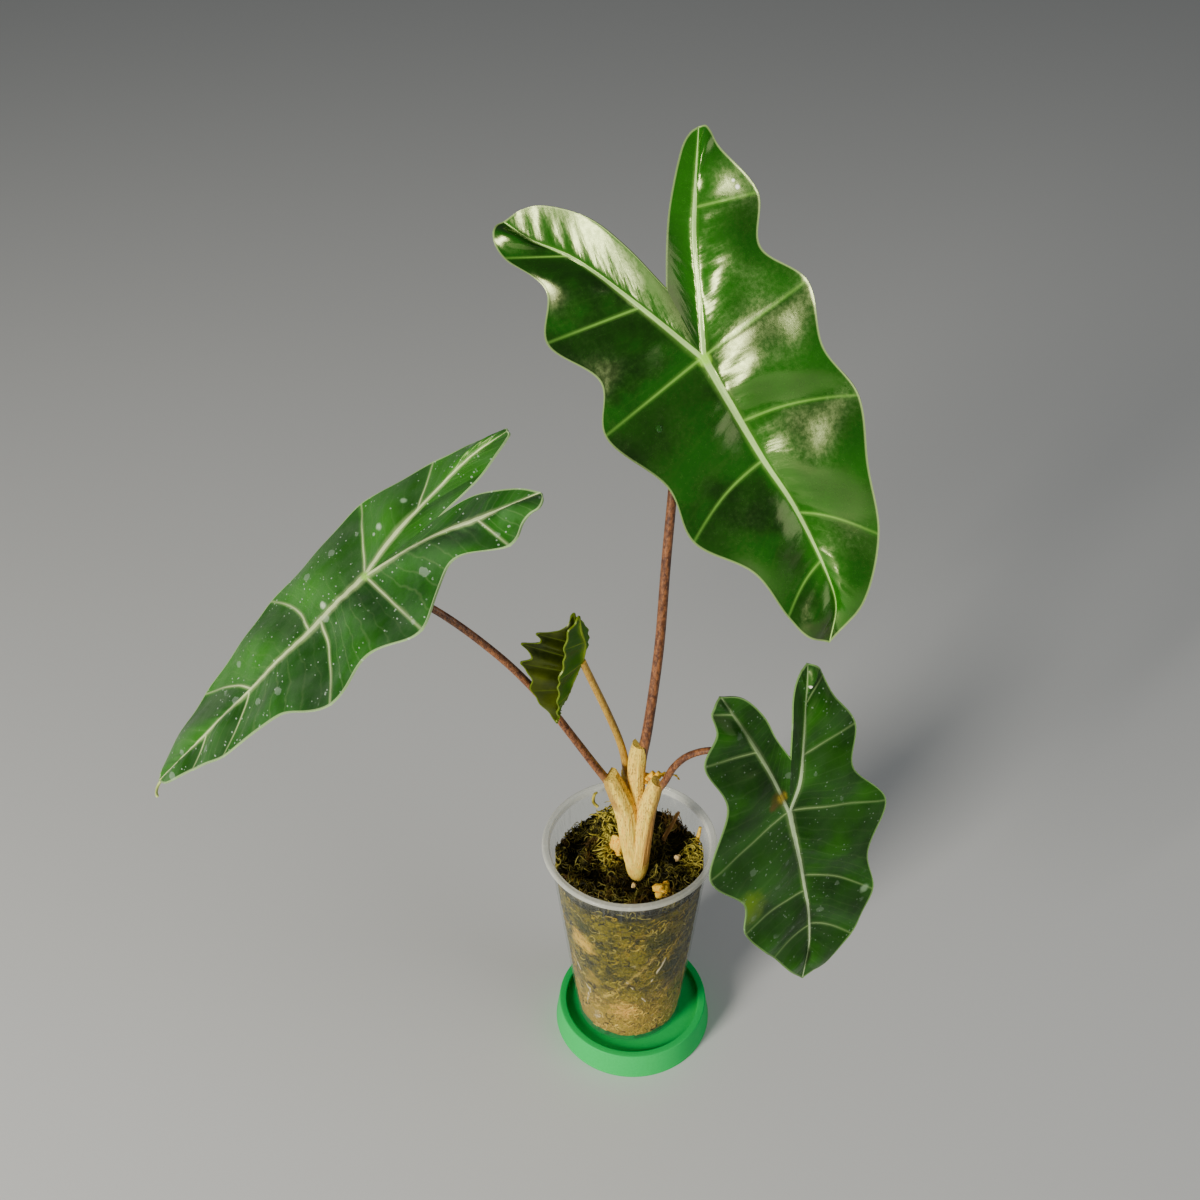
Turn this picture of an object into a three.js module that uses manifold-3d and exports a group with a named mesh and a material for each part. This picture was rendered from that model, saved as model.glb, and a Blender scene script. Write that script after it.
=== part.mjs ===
// A young alocasia with four leaves, in a clear cup of moss that stands on a round green stand.
// Millimetres, +Z up. The origin is on the surface below, under the middle of the cup.
// The leaves are numbered: 1 is the tall one, 2 the left one, 3 the right one and 4 the young one.
import * as THREE from "three";
import { mergeVertices } from "three/addons/utils/BufferGeometryUtils.js";
import Module from "manifold-3d";

const wasm = await Module();
wasm.setup();

// Driving dimensions
const GAP = 0.3; // clearance between neighbours
const ROUND_SIDES = 40; // the cup's and the moss's facets lie side by side

const STAND = {
  height: 15.4,
  footRadius: 43,
  topRadius: 41,
  lipRadius: 36.8, // inner edge of the raised ring
  seatHeight: 12, // the floor that the cup stands on
  shift: 2, // the stand isn't quite centred under the cup
  edge: 0.8, // rounding of its edges
};

const CUP = {
  height: 129.3,
  baseRadius: 28.7,
  wallTopRadius: 41.2,
  rimRadius: 45,
  rimHeight: 3,
  rimThickness: 2.6,
  stepBelowRim: 5, // where the wall widens for stacking
  stepWidth: 0.7,
  wall: 0.9,
  baseRound: 2.2,
};

const MOSS = {
  level: 126.5, // mean height of its top
  bump: 1.3,
  heap: { x: -13, y: 17, height: 5.5, spread: 120 }, // pale old moss heaped up behind the plant
  strands: 24,
  strandRadius: 1.1,
  strandDepth: 3, // how deep a strand is rooted
  shortest: 5,
  longest: 10,
  seed: 7,
};

const PLANT = { x: 3.6, y: -8.6 }; // where the plant stands in the moss
const FOOT_HEIGHT = 122; // the leaf bases' lower end, on top of the corm

const BLADE = {
  thickness: 0.8,
  edgeThickness: 0.65,
  hubDepth: 2.8, // how far the ribs stand out below, where they meet
  ribTipDepth: 0.3,
  veinDepth: 1.1,
  ridge: 0.5, // the main ribs' ridge on the upper face
  ridgeFade: 2.5, // the ridge is lower over the last 1/2.5 of a rib
};

// Where rows and columns of a blade's facets lie: rows between two side veins, columns from rib to edge
const ROW_PHASES = [0, 0.12, 0.31, 0.5, 0.69, 0.88];
const OUTER_COLUMNS = [0.07, 0.34, 0.67, 1];
const INNER_COLUMNS = [0, 0.2, 0.6, 1];

// Blades. Each lies in its own plane: u is the distance from the stalk's seat towards the tip, v is to the side.
// An edge goes from the leaf's tip to the tip of its lobe, through bays and crests in turn, and a side vein
// runs from its place u on the rib to each crest. An inner edge goes on from the notch between the lobes to
// a lobe's tip.
// fold lifts the sides by an angle, over a crease; the two bends curve the tip and the lobes back by a radius;
// quilt is how far the blade swells up between two side veins. A folded leaf is creased along its middle line.
const LEAVES = {
  leaf_1: {
    seat: [28.2, -0.3, 419.2],
    tipTowards: [0.412, -0.38, -0.828],
    faceTowards: [-0.097, -0.922, 0.375],
    fold: 10.5,
    crease: 6,
    tipBend: 800,
    lobeBend: 500,
    quilt: 3.2,
    midrib: [[133, -1], [118, 8], [105, 10], [71, 9], [46, 5], [0, 0]],
    notch: [-30, -2],
    right: {
      edge: [
        [133, -1], [121, 19], [95, 36], [66, 43], [38, 50], [15, 45],
        [-11, 49], [-30, 38], [-49, 45], [-66, 40], [-81, 34],
      ],
      veins: [74, 30, 0, -54],
      rib: [[0, 0], [-25, 9], [-45, 16], [-67, 27], [-81, 34]],
      inner: [[-44, 4], [-56, 10], [-72, 21], [-81, 34]],
    },
    left: {
      edge: [
        [133, -1], [126, -8], [114, -12], [90, -17], [67, -34], [42, -34], [12, -48],
        [-8, -41], [-31, -54], [-50, -46], [-68, -56], [-77, -57], [-81, -51],
      ],
      veins: [97, 48, 0, -28, -58],
      rib: [[0, 0], [-29, -15], [-56, -31], [-70, -44], [-81, -51]],
      inner: [[-52, -10], [-68, -19], [-80, -34], [-81, -51]],
    },
  },
  leaf_2: {
    seat: [-111.5, -30.8, 335],
    tipTowards: [-0.692, -0.062, -0.72],
    faceTowards: [-0.714, -0.09, 0.694],
    fold: -2,
    crease: 6,
    tipBend: 4000,
    lobeBend: 1200,
    quilt: 2.6,
    midrib: [[157, -7], [125, -4], [82, -2], [40, 0], [0, 0]],
    notch: [-45, 5],
    right: {
      edge: [
        [157, -7], [148, 2], [126, 11], [113, 19], [100, 24], [58, 36],
        [24, 57], [-1, 51], [-31, 62], [-51, 43], [-80, 60], [-92, 52], [-99, 47],
      ],
      veins: [116, 82, 30, 0, -67],
      rib: [[0, 0], [-24, 9], [-46, 19], [-70, 33], [-99, 47]],
      inner: [[-62, 11], [-77, 22], [-91, 36], [-99, 47]],
    },
    left: {
      edge: [
        [157, -7], [150, -22], [126, -40], [97, -47], [74, -58], [50, -57],
        [6, -61], [-18, -47], [-44, -36], [-70, -23], [-87, -9],
      ],
      veins: [81, 38, 0, -34],
      rib: [[0, 0], [-19, -7], [-45, -11], [-66, -13], [-87, -9]],
      inner: [[-60, 4], [-72, 2], [-81, -2], [-87, -9]],
    },
  },
  leaf_3: {
    seat: [70.6, -54.1, 217.3],
    tipTowards: [0.117, -0.097, -0.988],
    faceTowards: [0.451, -0.882, 0.14],
    fold: 7,
    crease: 6,
    tipBend: 2000,
    lobeBend: 500,
    quilt: 2.8,
    midrib: [[111, 2], [81, 7], [44, 5], [19, 2], [0, 0]],
    notch: [-30, 2],
    right: {
      edge: [
        [111, 2], [105, 14], [92, 29], [80, 34], [67, 41], [42, 38],
        [14, 49], [-13, 33], [-34, 37], [-54, 27], [-64, 24], [-69, 22], [-71, 18],
      ],
      veins: [75, 42, 0, -27, -52],
      rib: [[0, 0], [-13, 6], [-42, 12], [-71, 18]],
      inner: [[-48, 5], [-60, 8], [-68, 13], [-71, 18]],
    },
    left: {
      edge: [
        [111, 2], [100, -6], [84, -15], [75, -21], [58, -30], [39, -30],
        [14, -46], [-20, -33], [-45, -40], [-57, -32], [-68, -32], [-73, -31], [-75, -27],
      ],
      veins: [76, 52, 0, -39, -62],
      rib: [[0, 0], [-23, -7], [-55, -19], [-75, -27]],
      inner: [[-42, -3], [-55, -7], [-71, -17], [-75, -27]],
    },
  },
  leaf_4: {
    seat: [-23, -21, 279],
    tipTowards: [-0.335, -0.11, -0.935],
    faceTowards: [-0.873, -0.391, 0.292],
    fold: 68,
    crease: 0.6,
    folded: true,
    tipBend: 2000,
    lobeBend: 2000,
    quilt: 1.6,
    midrib: [[35.5, 0], [24, 0], [10, 0], [0, 0]],
    notch: [-7, 0],
    right: {
      edge: [[35.5, 0], [30, 1], [22, 2.5], [13, 3.8], [6, 5], [-3, 5.3], [-12, 6.9], [-22, 7.6], [-29, 6.6]],
      veins: [17, 0, -13],
      rib: [[0, 0], [-10, 1.4], [-20, 4.4], [-29, 6.6]],
      inner: [[-14, 1.2], [-21, 3], [-29, 6.6]],
    },
    left: {
      edge: [
        [35.5, 0], [29, -3.4], [22, -6.4], [14, -7.6], [9, -9.8], [4, -8.4],
        [-1, -10.8], [-4.5, -8], [-8, -9], [-13, -5.6], [-22.5, -4.5],
      ],
      veins: [16, 7, 0, -8],
      rib: [[0, 0], [-10, -1.8], [-22.5, -4.5]],
      inner: [[-12, -0.6], [-17, -1.6], [-22.5, -4.5]],
    },
  },
};

// Leaf stalks, from the foot in the leaf base to a last point behind the blade, and their radii at foot and top
const STALKS = {
  petiole_1: {
    leaf: "leaf_1",
    radii: [2.9, 1.6],
    steps: 22,
    route: [
      [4.3, -6.1, 195], [5.5, -6.3, 207], [7.1, -6.5, 217], [9, -6.5, 233], [12.8, -5.4, 273],
      [15.2, -4.6, 322], [17.2, -3, 355], [19, 0.5, 384], [22, 6, 405], [25, 7.6, 412.5],
    ],
  },
  petiole_2: {
    leaf: "leaf_2",
    radii: [2.3, 1.5],
    steps: 20,
    route: [
      [-8.8, -10.5, 189.5], [-11.9, -11.1, 196.3], [-18, -12.3, 208.3], [-25.4, -13.8, 223.4],
      [-41.7, -17, 255.3], [-58.5, -20.3, 281.5], [-85.7, -25.7, 313.5], [-104, -29, 326.8],
    ],
  },
  petiole_3: {
    leaf: "leaf_3",
    radii: [1.9, 1.4],
    steps: 18,
    route: [
      [13.2, -14.2, 191.5], [16.4, -16.6, 199.9], [20.3, -19.3, 211.8], [27, -23.8, 223.6],
      [37.2, -30, 232.5], [50, -36.5, 235], [60, -41, 230], [65.5, -45.5, 222],
    ],
  },
  petiole_4: {
    leaf: "leaf_4",
    radii: [2, 1.7],
    steps: 14,
    route: [
      [-0.4, -1.4, 183], [-1.7, -1.9, 192.5], [-3.2, -3, 205], [-5.7, -5.4, 218],
      [-11.7, -11.4, 241.9], [-18, -16.6, 264],
    ],
  },
};

// Leaf bases: sheaths that clasp a stalk and end in a lip on the inner side. Points are x, y, z and radius.
const SHEATHS = [
  {
    points: [
      [3.2, -8.8, 124, 4], [3.2, -9.6, 150, 5.8], [2.9, -8.6, 166, 5.2], [2.7, -6.8, 177, 4.3],
      [2.6, -6, 187, 3.7], [2.9, -6, 197, 4], [3.6, -6.1, 206, 4.5], [4.8, -6.3, 215, 3.9],
    ],
    lip: [4.2, -6.2, 215],
    away: [1, 0, 0],
    slant: 72,
  },
  {
    points: [
      [3.2, -8.8, 124, 3.8], [2.3, -9.4, 141, 5.9], [0.4, -10, 152.7, 5.6], [-1.4, -10.3, 167, 5.3],
      [-2.8, -10.3, 176, 5.6], [-5.1, -10.4, 184, 5.4], [-7.8, -10.6, 192, 4.8], [-10.4, -10.9, 199.5, 4.2],
    ],
    lip: [-11, -10.7, 200],
    away: [-1, 0, -0.3],
    slant: 68,
  },
  {
    points: [
      [3.8, -9, 124, 3.8], [4.4, -10, 143.5, 5.8], [5.6, -11, 154.4, 5.2], [7.3, -11.7, 168, 4.6],
      [8.3, -12.2, 177, 4.6], [10.1, -13, 185.5, 4.3], [11.6, -13.8, 192.5, 3.9], [13.2, -14.6, 198, 3.4],
    ],
    lip: [13.9, -14.6, 198.2],
    away: [1, -0.3, -0.3],
    slant: 68,
  },
  {
    points: [
      [3.4, -7.6, 140, 4], [2.2, -4.6, 165, 3.8], [-0.2, -1.9, 181, 3.3],
      [-1.7, -2, 192, 2.9], [-2.2, -2.4, 196.5, 2.8],
    ],
    lip: [-1.2, -1.4, 195],
    away: [-1, -1, 0],
    slant: 55,
  },
];
const FOOT_PROFILE = [[FOOT_HEIGHT, 3.6], [126, 4.6], [131, 5.7], [137, 6.3]]; // height and radius

// A dried remnant of an old leaf base, caught between the middle and the right one
const HUSK = [
  [5.4, -6, 186, 1.8], [8.8, -5.9, 192.8, 2.6], [12.6, -6.4, 193.8, 2.4], [16, -7.2, 195, 1.7],
  [19, -7.6, 195.4, 0.8], [22, -6.8, 194, 0.6], [24, -5.6, 190, 0.5],
];

// Corm and roots. A root leaves the corm at an angle, meets the wall at a height and ends lower down along it.
const CORM_PROFILE = [[98, 2.5], [101, 5.6], [107, 7.6], [114, 7.4], [119, 5.4], [FOOT_HEIGHT - GAP, 3.4]];
const ROOT = { radius: 1.1, leavesAt: 112, near: 9, midway: 22, swing: 3 }; // swing: height that it arches up
const ROOTS = [
  { angle: -100, meets: 78, ends: 34, turn: 38 },
  { angle: -55, meets: 88, ends: 46, turn: -30 },
  { angle: -10, meets: 70, ends: 24, turn: 30 },
  { angle: 40, meets: 84, ends: 40, turn: 35 },
  { angle: 95, meets: 74, ends: 30, turn: -35 },
  { angle: 145, meets: 90, ends: 44, turn: 28 },
  { angle: 200, meets: 80, ends: 28, turn: 42 },
  { angle: 232, meets: 66, ends: 20, turn: -20 },
];

// Loose bits on the moss: two chips of bark and a twig
const CHIPS = {
  bark_chip_1: { centre: [17, -22, 130.2], size: [5.4, 4, 3.6], turn: 25 },
  bark_chip_2: { centre: [-5.4, 2.4, 134], size: [4.2, 3.6, 7], turn: -20 },
};
const TWIG = [[16.6, 12, 119, 1.2], [18.2, 12.6, 128.5, 1.2], [21.6, 12.4, 138, 1], [25.5, 12, 149, 0.8]];

// Small tools
const vector = (p) => new THREE.Vector3(p[0], p[1], p[2]);
const radians = THREE.MathUtils.degToRad;
const pairs = (list) => list.slice(1).map((item, i) => [list[i], item]); // each item with the one before it
const ORIGIN = new THREE.Vector3();

// A geometry as a solid for joining and cutting
function solidOf(geometry) {
  const bare = new THREE.BufferGeometry();
  bare.setAttribute("position", geometry.getAttribute("position"));
  bare.setIndex(geometry.getIndex());
  const merged = mergeVertices(bare, 1e-4);
  const triVerts = [];
  for (let i = 0; i < merged.index.count; i += 3) {
    const [a, b, c] = [0, 1, 2].map((k) => merged.index.getX(i + k));
    if (a !== b && b !== c && c !== a) triVerts.push(a, b, c);
  }
  return new wasm.Manifold(
    new wasm.Mesh({
      numProp: 3,
      vertProperties: new Float32Array(merged.attributes.position.array),
      triVerts: new Uint32Array(triVerts),
    }),
  );
}

function geometryOf(solid) {
  const mesh = solid.getMesh();
  const geometry = new THREE.BufferGeometry();
  geometry.setAttribute("position", new THREE.BufferAttribute(mesh.vertProperties, 3));
  geometry.setIndex(new THREE.BufferAttribute(mesh.triVerts, 1));
  return geometry;
}

// A body of revolution round +Z from points of radius and height, which start and end on the axis
function turned(profile, sides) {
  const points = profile.map(([radius, height]) => new THREE.Vector2(radius, height));
  return new THREE.LatheGeometry(points, sides).rotateX(Math.PI / 2);
}

// A quarter round between two directions, as points of radius and height
function roundCorner(radius, height, size, from, to, steps = 3) {
  const points = [];
  for (let i = 0; i <= steps; i++) {
    const angle = radians(THREE.MathUtils.lerp(from, to, i / steps));
    points.push([radius + size * Math.cos(angle), height + size * Math.sin(angle)]);
  }
  return points;
}

// A closed solid through rings that have the same number of points
function loft(rings) {
  const sides = rings[0].length;
  const position = rings.flat().flatMap((p) => [p.x, p.y, p.z]);
  const index = [];
  for (let r = 0; r + 1 < rings.length; r++)
    for (let s = 0; s < sides; s++) {
      const a = r * sides + s;
      const b = r * sides + ((s + 1) % sides);
      index.push(a, b, b + sides, a, b + sides, a + sides);
    }
  const last = (rings.length - 1) * sides;
  for (let s = 1; s + 1 < sides; s++) {
    index.push(0, s + 1, s);
    index.push(last, last + s, last + s + 1);
  }
  const geometry = new THREE.BufferGeometry();
  geometry.setAttribute("position", new THREE.Float32BufferAttribute(position, 3));
  geometry.setIndex(index);
  return geometry;
}

// Rings round a smooth path, whose radius is a function of the share of the way along it
function ringsAlong(path, radiusAt, steps, sides) {
  const frames = path.computeFrenetFrames(steps, false);
  const rings = [];
  for (let i = 0; i <= steps; i++) {
    const middle = path.getPointAt(i / steps);
    const ring = [];
    for (let s = 0; s < sides; s++) {
      const angle = (2 * Math.PI * s) / sides;
      const out = frames.normals[i].clone().multiplyScalar(Math.cos(angle));
      out.addScaledVector(frames.binormals[i], Math.sin(angle));
      ring.push(middle.clone().addScaledVector(out, radiusAt(i / steps)));
    }
    rings.push(ring);
  }
  return rings;
}

// A rounded tapering tube through points of x, y, z and radius, thickened by extra
function taperedTube(points, steps, sides, extra = 0) {
  const path = new THREE.CatmullRomCurve3(points.map(vector));
  const lengths = path.getLengths(200);
  const whole = lengths[200];
  const stations = points.map((p, i) => lengths[Math.round((200 * i) / (points.length - 1))] / whole);
  const radiusAt = (share) => {
    let k = 1;
    while (k < points.length - 1 && stations[k] < share) k++;
    const part = (share - stations[k - 1]) / (stations[k] - stations[k - 1]);
    return THREE.MathUtils.lerp(points[k - 1][3], points[k][3], Math.min(1, part)) + extra;
  };
  return loft(ringsAlong(path, radiusAt, steps, sides));
}

// Repeatable random numbers from 0 to 1
function randomFrom(seed) {
  let state = seed;
  return () => {
    state = (state * 16807) % 2147483647;
    return state / 2147483647;
  };
}

// Blades

// The three directions of a blade's own plane: towards its tip, to its side and out of its upper face
function bladeAxes(leaf) {
  const tip = vector(leaf.tipTowards).normalize();
  const face = vector(leaf.faceTowards);
  face.addScaledVector(tip, -face.dot(tip)).normalize();
  return { tip, side: face.clone().cross(tip), face };
}

function flatCurve(points) {
  return new THREE.CatmullRomCurve3(points.map(([u, v]) => new THREE.Vector3(u, v, 0)), false, "centripetal");
}

// The point of a rib whose distance towards the tip is u, which falls all the way along the rib's curve
function ribPoint(curve, u) {
  let low = 0;
  let high = 1;
  for (let i = 0; i < 40; i++) {
    const middle = (low + high) / 2;
    if (curve.getPoint(middle).x > u) low = middle;
    else high = middle;
  }
  return curve.getPoint((low + high) / 2);
}

// Points of a sheet, each kept once, with how deep the sheet is there
class Sheet {
  constructor() {
    this.points = [];
    this.depths = [];
    this.places = new Map();
    this.faces = [];
  }

  point(p, depth) {
    const key = [p.x, p.y, p.z].map((x) => Math.round(x * 1000)).join();
    if (!this.places.has(key)) {
      this.places.set(key, this.points.length);
      this.points.push(p);
      this.depths.push(depth);
    }
    return this.places.get(key);
  }

  // Triangles between two lines of points that run side by side, towards the lobes, with their points spaced unlike
  band(before, after, turned) {
    let [i, j] = [0, 0];
    while (i + 1 < before.length || j + 1 < after.length) {
      const [from, to] = [before[i].index, after[j].index];
      const nextBefore = before[i + 1]?.u ?? -Infinity;
      const nextAfter = after[j + 1]?.u ?? -Infinity;
      const ahead = nextBefore >= nextAfter ? before[++i].index : after[++j].index;
      if (from === to || to === ahead || ahead === from) continue;
      this.faces.push(turned ? [from, ahead, to] : [from, to, ahead]);
    }
  }

  // The sheet as a solid that is as deep as its points say, with its two faces split into triangles alike
  solid() {
    const normals = this.points.map(() => new THREE.Vector3());
    for (const [i, j, k] of this.faces) {
      const [a, b, c] = [i, j, k].map((n) => this.points[n]);
      const normal = b.clone().sub(a).cross(c.clone().sub(a));
      for (const n of [i, j, k]) normals[n].add(normal);
    }
    const lower = this.points.map((p, n) => p.clone().addScaledVector(normals[n].normalize(), -this.depths[n]));
    const count = this.points.length;
    const index = [];
    const edges = new Map();
    for (const [i, j, k] of this.faces) {
      index.push(i, j, k, i + count, k + count, j + count);
      for (const [a, b] of [[i, j], [j, k], [k, i]]) {
        if (edges.has(b + "," + a)) edges.delete(b + "," + a);
        else edges.set(a + "," + b, [a, b]);
      }
    }
    for (const [a, b] of edges.values()) index.push(b, a, a + count, b, a + count, b + count);
    const geometry = new THREE.BufferGeometry();
    const all = [...this.points, ...lower].flatMap((p) => [p.x, p.y, p.z]);
    geometry.setAttribute("position", new THREE.Float32BufferAttribute(all, 3));
    geometry.setIndex(index);
    return geometry;
  }
}

// A half's rows of points, from the leaf's tip to its lobe's: each one's number, counted in veins, and its place
// u on the rib
function rowsOf(leaf, half) {
  const stations = [leaf.midrib[0][0], ...half.veins, half.edge.at(-1)[0]];
  const rows = [];
  for (let k = 0; k + 1 < stations.length; k++)
    for (const phase of ROW_PHASES)
      rows.push({ row: k + phase, u: THREE.MathUtils.lerp(stations[k], stations[k + 1], phase) });
  rows.push({ row: stations.length - 1, u: stations.at(-1) });
  return rows;
}

// One half of a blade: an outer strip from the rib to the edge, and an inner one from the lobe's rib inwards.
// The midrib has a point wherever either half has a row, so that the halves meet along it.
function addHalf(sheet, leaf, half, side, midribPlaces) {
  const midrib = flatCurve(leaf.midrib);
  const lobeRib = flatCurve(half.rib);
  const edge = flatCurve(half.edge);
  const inner = flatCurve([leaf.notch, ...half.inner]);
  const rows = rowsOf(leaf, half);
  const tip = rows[0].u;
  const { row: intervals, u: lobeTip } = rows.at(-1);
  const seatRow = rows.find(({ u }) => u === 0).row;

  const ribAt = (u) => {
    if (u === tip || u === lobeTip) return edge.getPoint(u === tip ? 0 : 1);
    return u >= 0 ? ribPoint(midrib, u) : ribPoint(lobeRib, u);
  };
  const shareAt = (u) => (u >= 0 ? u / tip : u / lobeTip);
  const ribDepth = (u) => THREE.MathUtils.lerp(BLADE.hubDepth * leaf.scale, BLADE.ribTipDepth, Math.sqrt(shareAt(u)));
  const ridge = (u) => (leaf.folded ? 0 : BLADE.ridge * leaf.scale * Math.min(1, BLADE.ridgeFade * (1 - shareAt(u))));
  const place = (rib, out, t, row, quilt) => {
    const flat = rib.clone().lerp(out, t);
    const width = rib.distanceTo(out);
    const away = leaf.folded ? Math.abs(flat.y) : t * width;
    const phase = row - Math.floor(row);
    const bend = flat.x > 0 ? leaf.tipBend : leaf.lobeBend;
    const slope = radians(leaf.fold);
    flat.z = -(flat.x * flat.x) / (2 * bend) + Math.tan(slope) * (Math.hypot(away, leaf.crease) - leaf.crease);
    const height = Math.min(quilt, width / 4);
    const swell = height * Math.sin(Math.PI * phase) ** 2 * Math.sin((Math.PI / 2) * Math.min(1, 1.6 * t));
    flat.z += swell * Math.cos(slope);
    flat.y -= side * swell * Math.sin(slope);
    flat.z += t === 0 ? ridge(rib.x) : 0;
    const onVein = phase === 0 && row > 0 && row < intervals;
    let depth = THREE.MathUtils.lerp(BLADE.thickness, BLADE.edgeThickness, t);
    if (t === 0) depth += ribDepth(rib.x);
    else if (onVein && quilt > 0) depth += BLADE.veinDepth * leaf.scale * (1 - 0.75 * t);
    return sheet.point(flat, depth);
  };
  const line = (places, t, outAt, quilt) =>
    places.map(({ row, u }) => ({ u, index: place(ribAt(u), outAt(row), t, row, quilt) }));

  const ribLine = line([...midribPlaces, ...rows.filter(({ u }) => u < 0)], 0, () => ORIGIN, 0);
  const edgeAt = (row) => edge.getPoint(row / intervals);
  const outer = OUTER_COLUMNS.map((t) => line(rows, t, edgeAt, leaf.quilt));
  for (const [before, after] of pairs([ribLine, ...outer])) sheet.band(before, after, side < 0);
  const lobeRows = rows.filter(({ u }) => u <= 0);
  const innerAt = (row) => inner.getPoint((row - seatRow) / (intervals - seatRow));
  const lobe = INNER_COLUMNS.map((t) => line(lobeRows, t, innerAt, 0));
  for (const [before, after] of pairs(lobe)) sheet.band(before, after, side > 0);
}

function bladeGeometry(leaf) {
  const sheet = new Sheet();
  const places = [leaf.right, leaf.left].flatMap((half) => rowsOf(leaf, half)).filter(({ u }) => u >= 0);
  places.sort((a, b) => b.u - a.u);
  addHalf(sheet, leaf, leaf.right, 1, places);
  addHalf(sheet, leaf, leaf.left, -1, places);
  const axes = bladeAxes(leaf);
  const matrix = new THREE.Matrix4().makeBasis(axes.tip, axes.side, axes.face);
  return sheet.solid().applyMatrix4(matrix.setPosition(vector(leaf.seat)));
}

// Leaf stalks

// The middle of a stalk's top, just clear of the ribs below the blade's seat
function stalkTop(leaf) {
  const below = BLADE.thickness + (BLADE.hubDepth - BLADE.ridge) * leaf.scale + GAP;
  return vector(leaf.seat).addScaledVector(bladeAxes(leaf).face, -below);
}

function stalkRadius(stalk, share) {
  return THREE.MathUtils.lerp(stalk.radii[0], stalk.radii[1], share ** 0.8);
}

// The stalk's top ring is cut level with the blade
function stalkGeometry(stalk) {
  const leaf = LEAVES[stalk.leaf];
  const { face } = bladeAxes(leaf);
  const top = stalkTop(leaf);
  const path = new THREE.CatmullRomCurve3([...stalk.route.map(vector), top]);
  const rings = ringsAlong(path, (share) => stalkRadius(stalk, share), stalk.steps, 8);
  const along = path.getTangentAt(1);
  const mitred = rings.at(-1).map((p) => {
    const rise = p.clone().sub(top).dot(face) / along.dot(face);
    return p.clone().addScaledVector(along, -rise);
  });
  return loft([...rings.slice(0, -1), mitred]);
}

// The room that a stalk's lower end needs in its leaf base
function stalkSocket(stalk) {
  const lower = stalk.route.slice(0, 4).map((p) => [...p, stalk.radii[0] + GAP]);
  const [foot, next] = lower.map(vector);
  const below = foot.clone().addScaledVector(next.clone().sub(foot).normalize(), -GAP);
  lower[0] = [...below.toArray(), lower[0][3]];
  return taperedTube(lower, 8, 10);
}

// Leaf bases

// A block whose lower side is a slanted plane through a lip's point, to cut a sheath open away from the lip
function slantedCut(sheath, upwards) {
  const size = 60;
  const away = vector(sheath.away);
  away.addScaledVector(upwards, -away.dot(upwards)).normalize();
  const angle = radians(sheath.slant);
  const normal = upwards.clone().multiplyScalar(Math.cos(angle)).addScaledVector(away, Math.sin(angle));
  const block = new THREE.BoxGeometry(size, size, size).translate(0, 0, size / 2);
  block.applyQuaternion(new THREE.Quaternion().setFromUnitVectors(new THREE.Vector3(0, 0, 1), normal));
  return block.translate(...sheath.lip);
}

function sheathSolid(sheath) {
  const [before, last] = sheath.points.slice(-2).map(vector);
  const upwards = last.clone().sub(before).normalize();
  const tube = solidOf(taperedTube(sheath.points, 12, 10));
  return tube.subtract(solidOf(slantedCut(sheath, upwards)));
}

// A round foot below the sheaths, thickened by extra
function footTube(extra, top = FOOT_PROFILE.at(-1)[0]) {
  const points = FOOT_PROFILE.map(([z, radius]) => [PLANT.x, PLANT.y, z, radius]);
  points.at(-1)[2] = top;
  return taperedTube(points, 5, 14, extra);
}

function leafBasesGeometry() {
  let bases = solidOf(footTube(0));
  for (const sheath of SHEATHS) bases = bases.add(sheathSolid(sheath));
  bases = bases.add(solidOf(taperedTube(HUSK, 9, 6)));
  for (const stalk of Object.values(STALKS)) bases = bases.subtract(solidOf(stalkSocket(stalk)));
  return geometryOf(largest(bases));
}

// The biggest body of a solid, without scraps that a cut leaves
function largest(solid) {
  return solid.decompose().reduce((a, b) => (a.volume() > b.volume() ? a : b));
}

// Corm and roots

function cupInnerRadius(z) {
  const share = (z - STAND.seatHeight) / (CUP.height - CUP.stepBelowRim);
  return THREE.MathUtils.lerp(CUP.baseRadius, CUP.wallTopRadius, share) - CUP.wall;
}

function rootTube(root, extra) {
  const { radius, leavesAt } = ROOT;
  const at = (angle, distance, z, x = 0, y = 0) => [
    x + distance * Math.cos(radians(angle)),
    y + distance * Math.sin(radians(angle)),
    z,
    radius,
  ];
  const alongWall = (share) => {
    const z = THREE.MathUtils.lerp(root.meets, root.ends, share);
    const clearance = GAP + (share === 0 ? 1.6 : 0.35);
    return at(root.angle + root.turn * share, cupInnerRadius(z) - radius - clearance, z);
  };
  const points = [
    at(root.angle, ROOT.near / 3, leavesAt + ROOT.swing / 2, PLANT.x, PLANT.y),
    at(root.angle, ROOT.near, leavesAt - ROOT.swing, PLANT.x, PLANT.y),
    at(root.angle, ROOT.midway, (leavesAt + root.meets) / 2 + ROOT.swing),
    alongWall(0),
    alongWall(0.5),
    alongWall(1),
  ];
  points.at(-1)[3] = radius * 0.6;
  return taperedTube(points, 10, 5, extra);
}

function cormTube(extra) {
  const points = CORM_PROFILE.map(([z, radius]) => [PLANT.x, PLANT.y, z, radius]);
  return taperedTube(points, 7, 12, extra);
}

function rootstock(extra) {
  return ROOTS.reduce((whole, root) => whole.add(solidOf(rootTube(root, extra))), solidOf(cormTube(extra)));
}

// Moss and what lies on it

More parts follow.
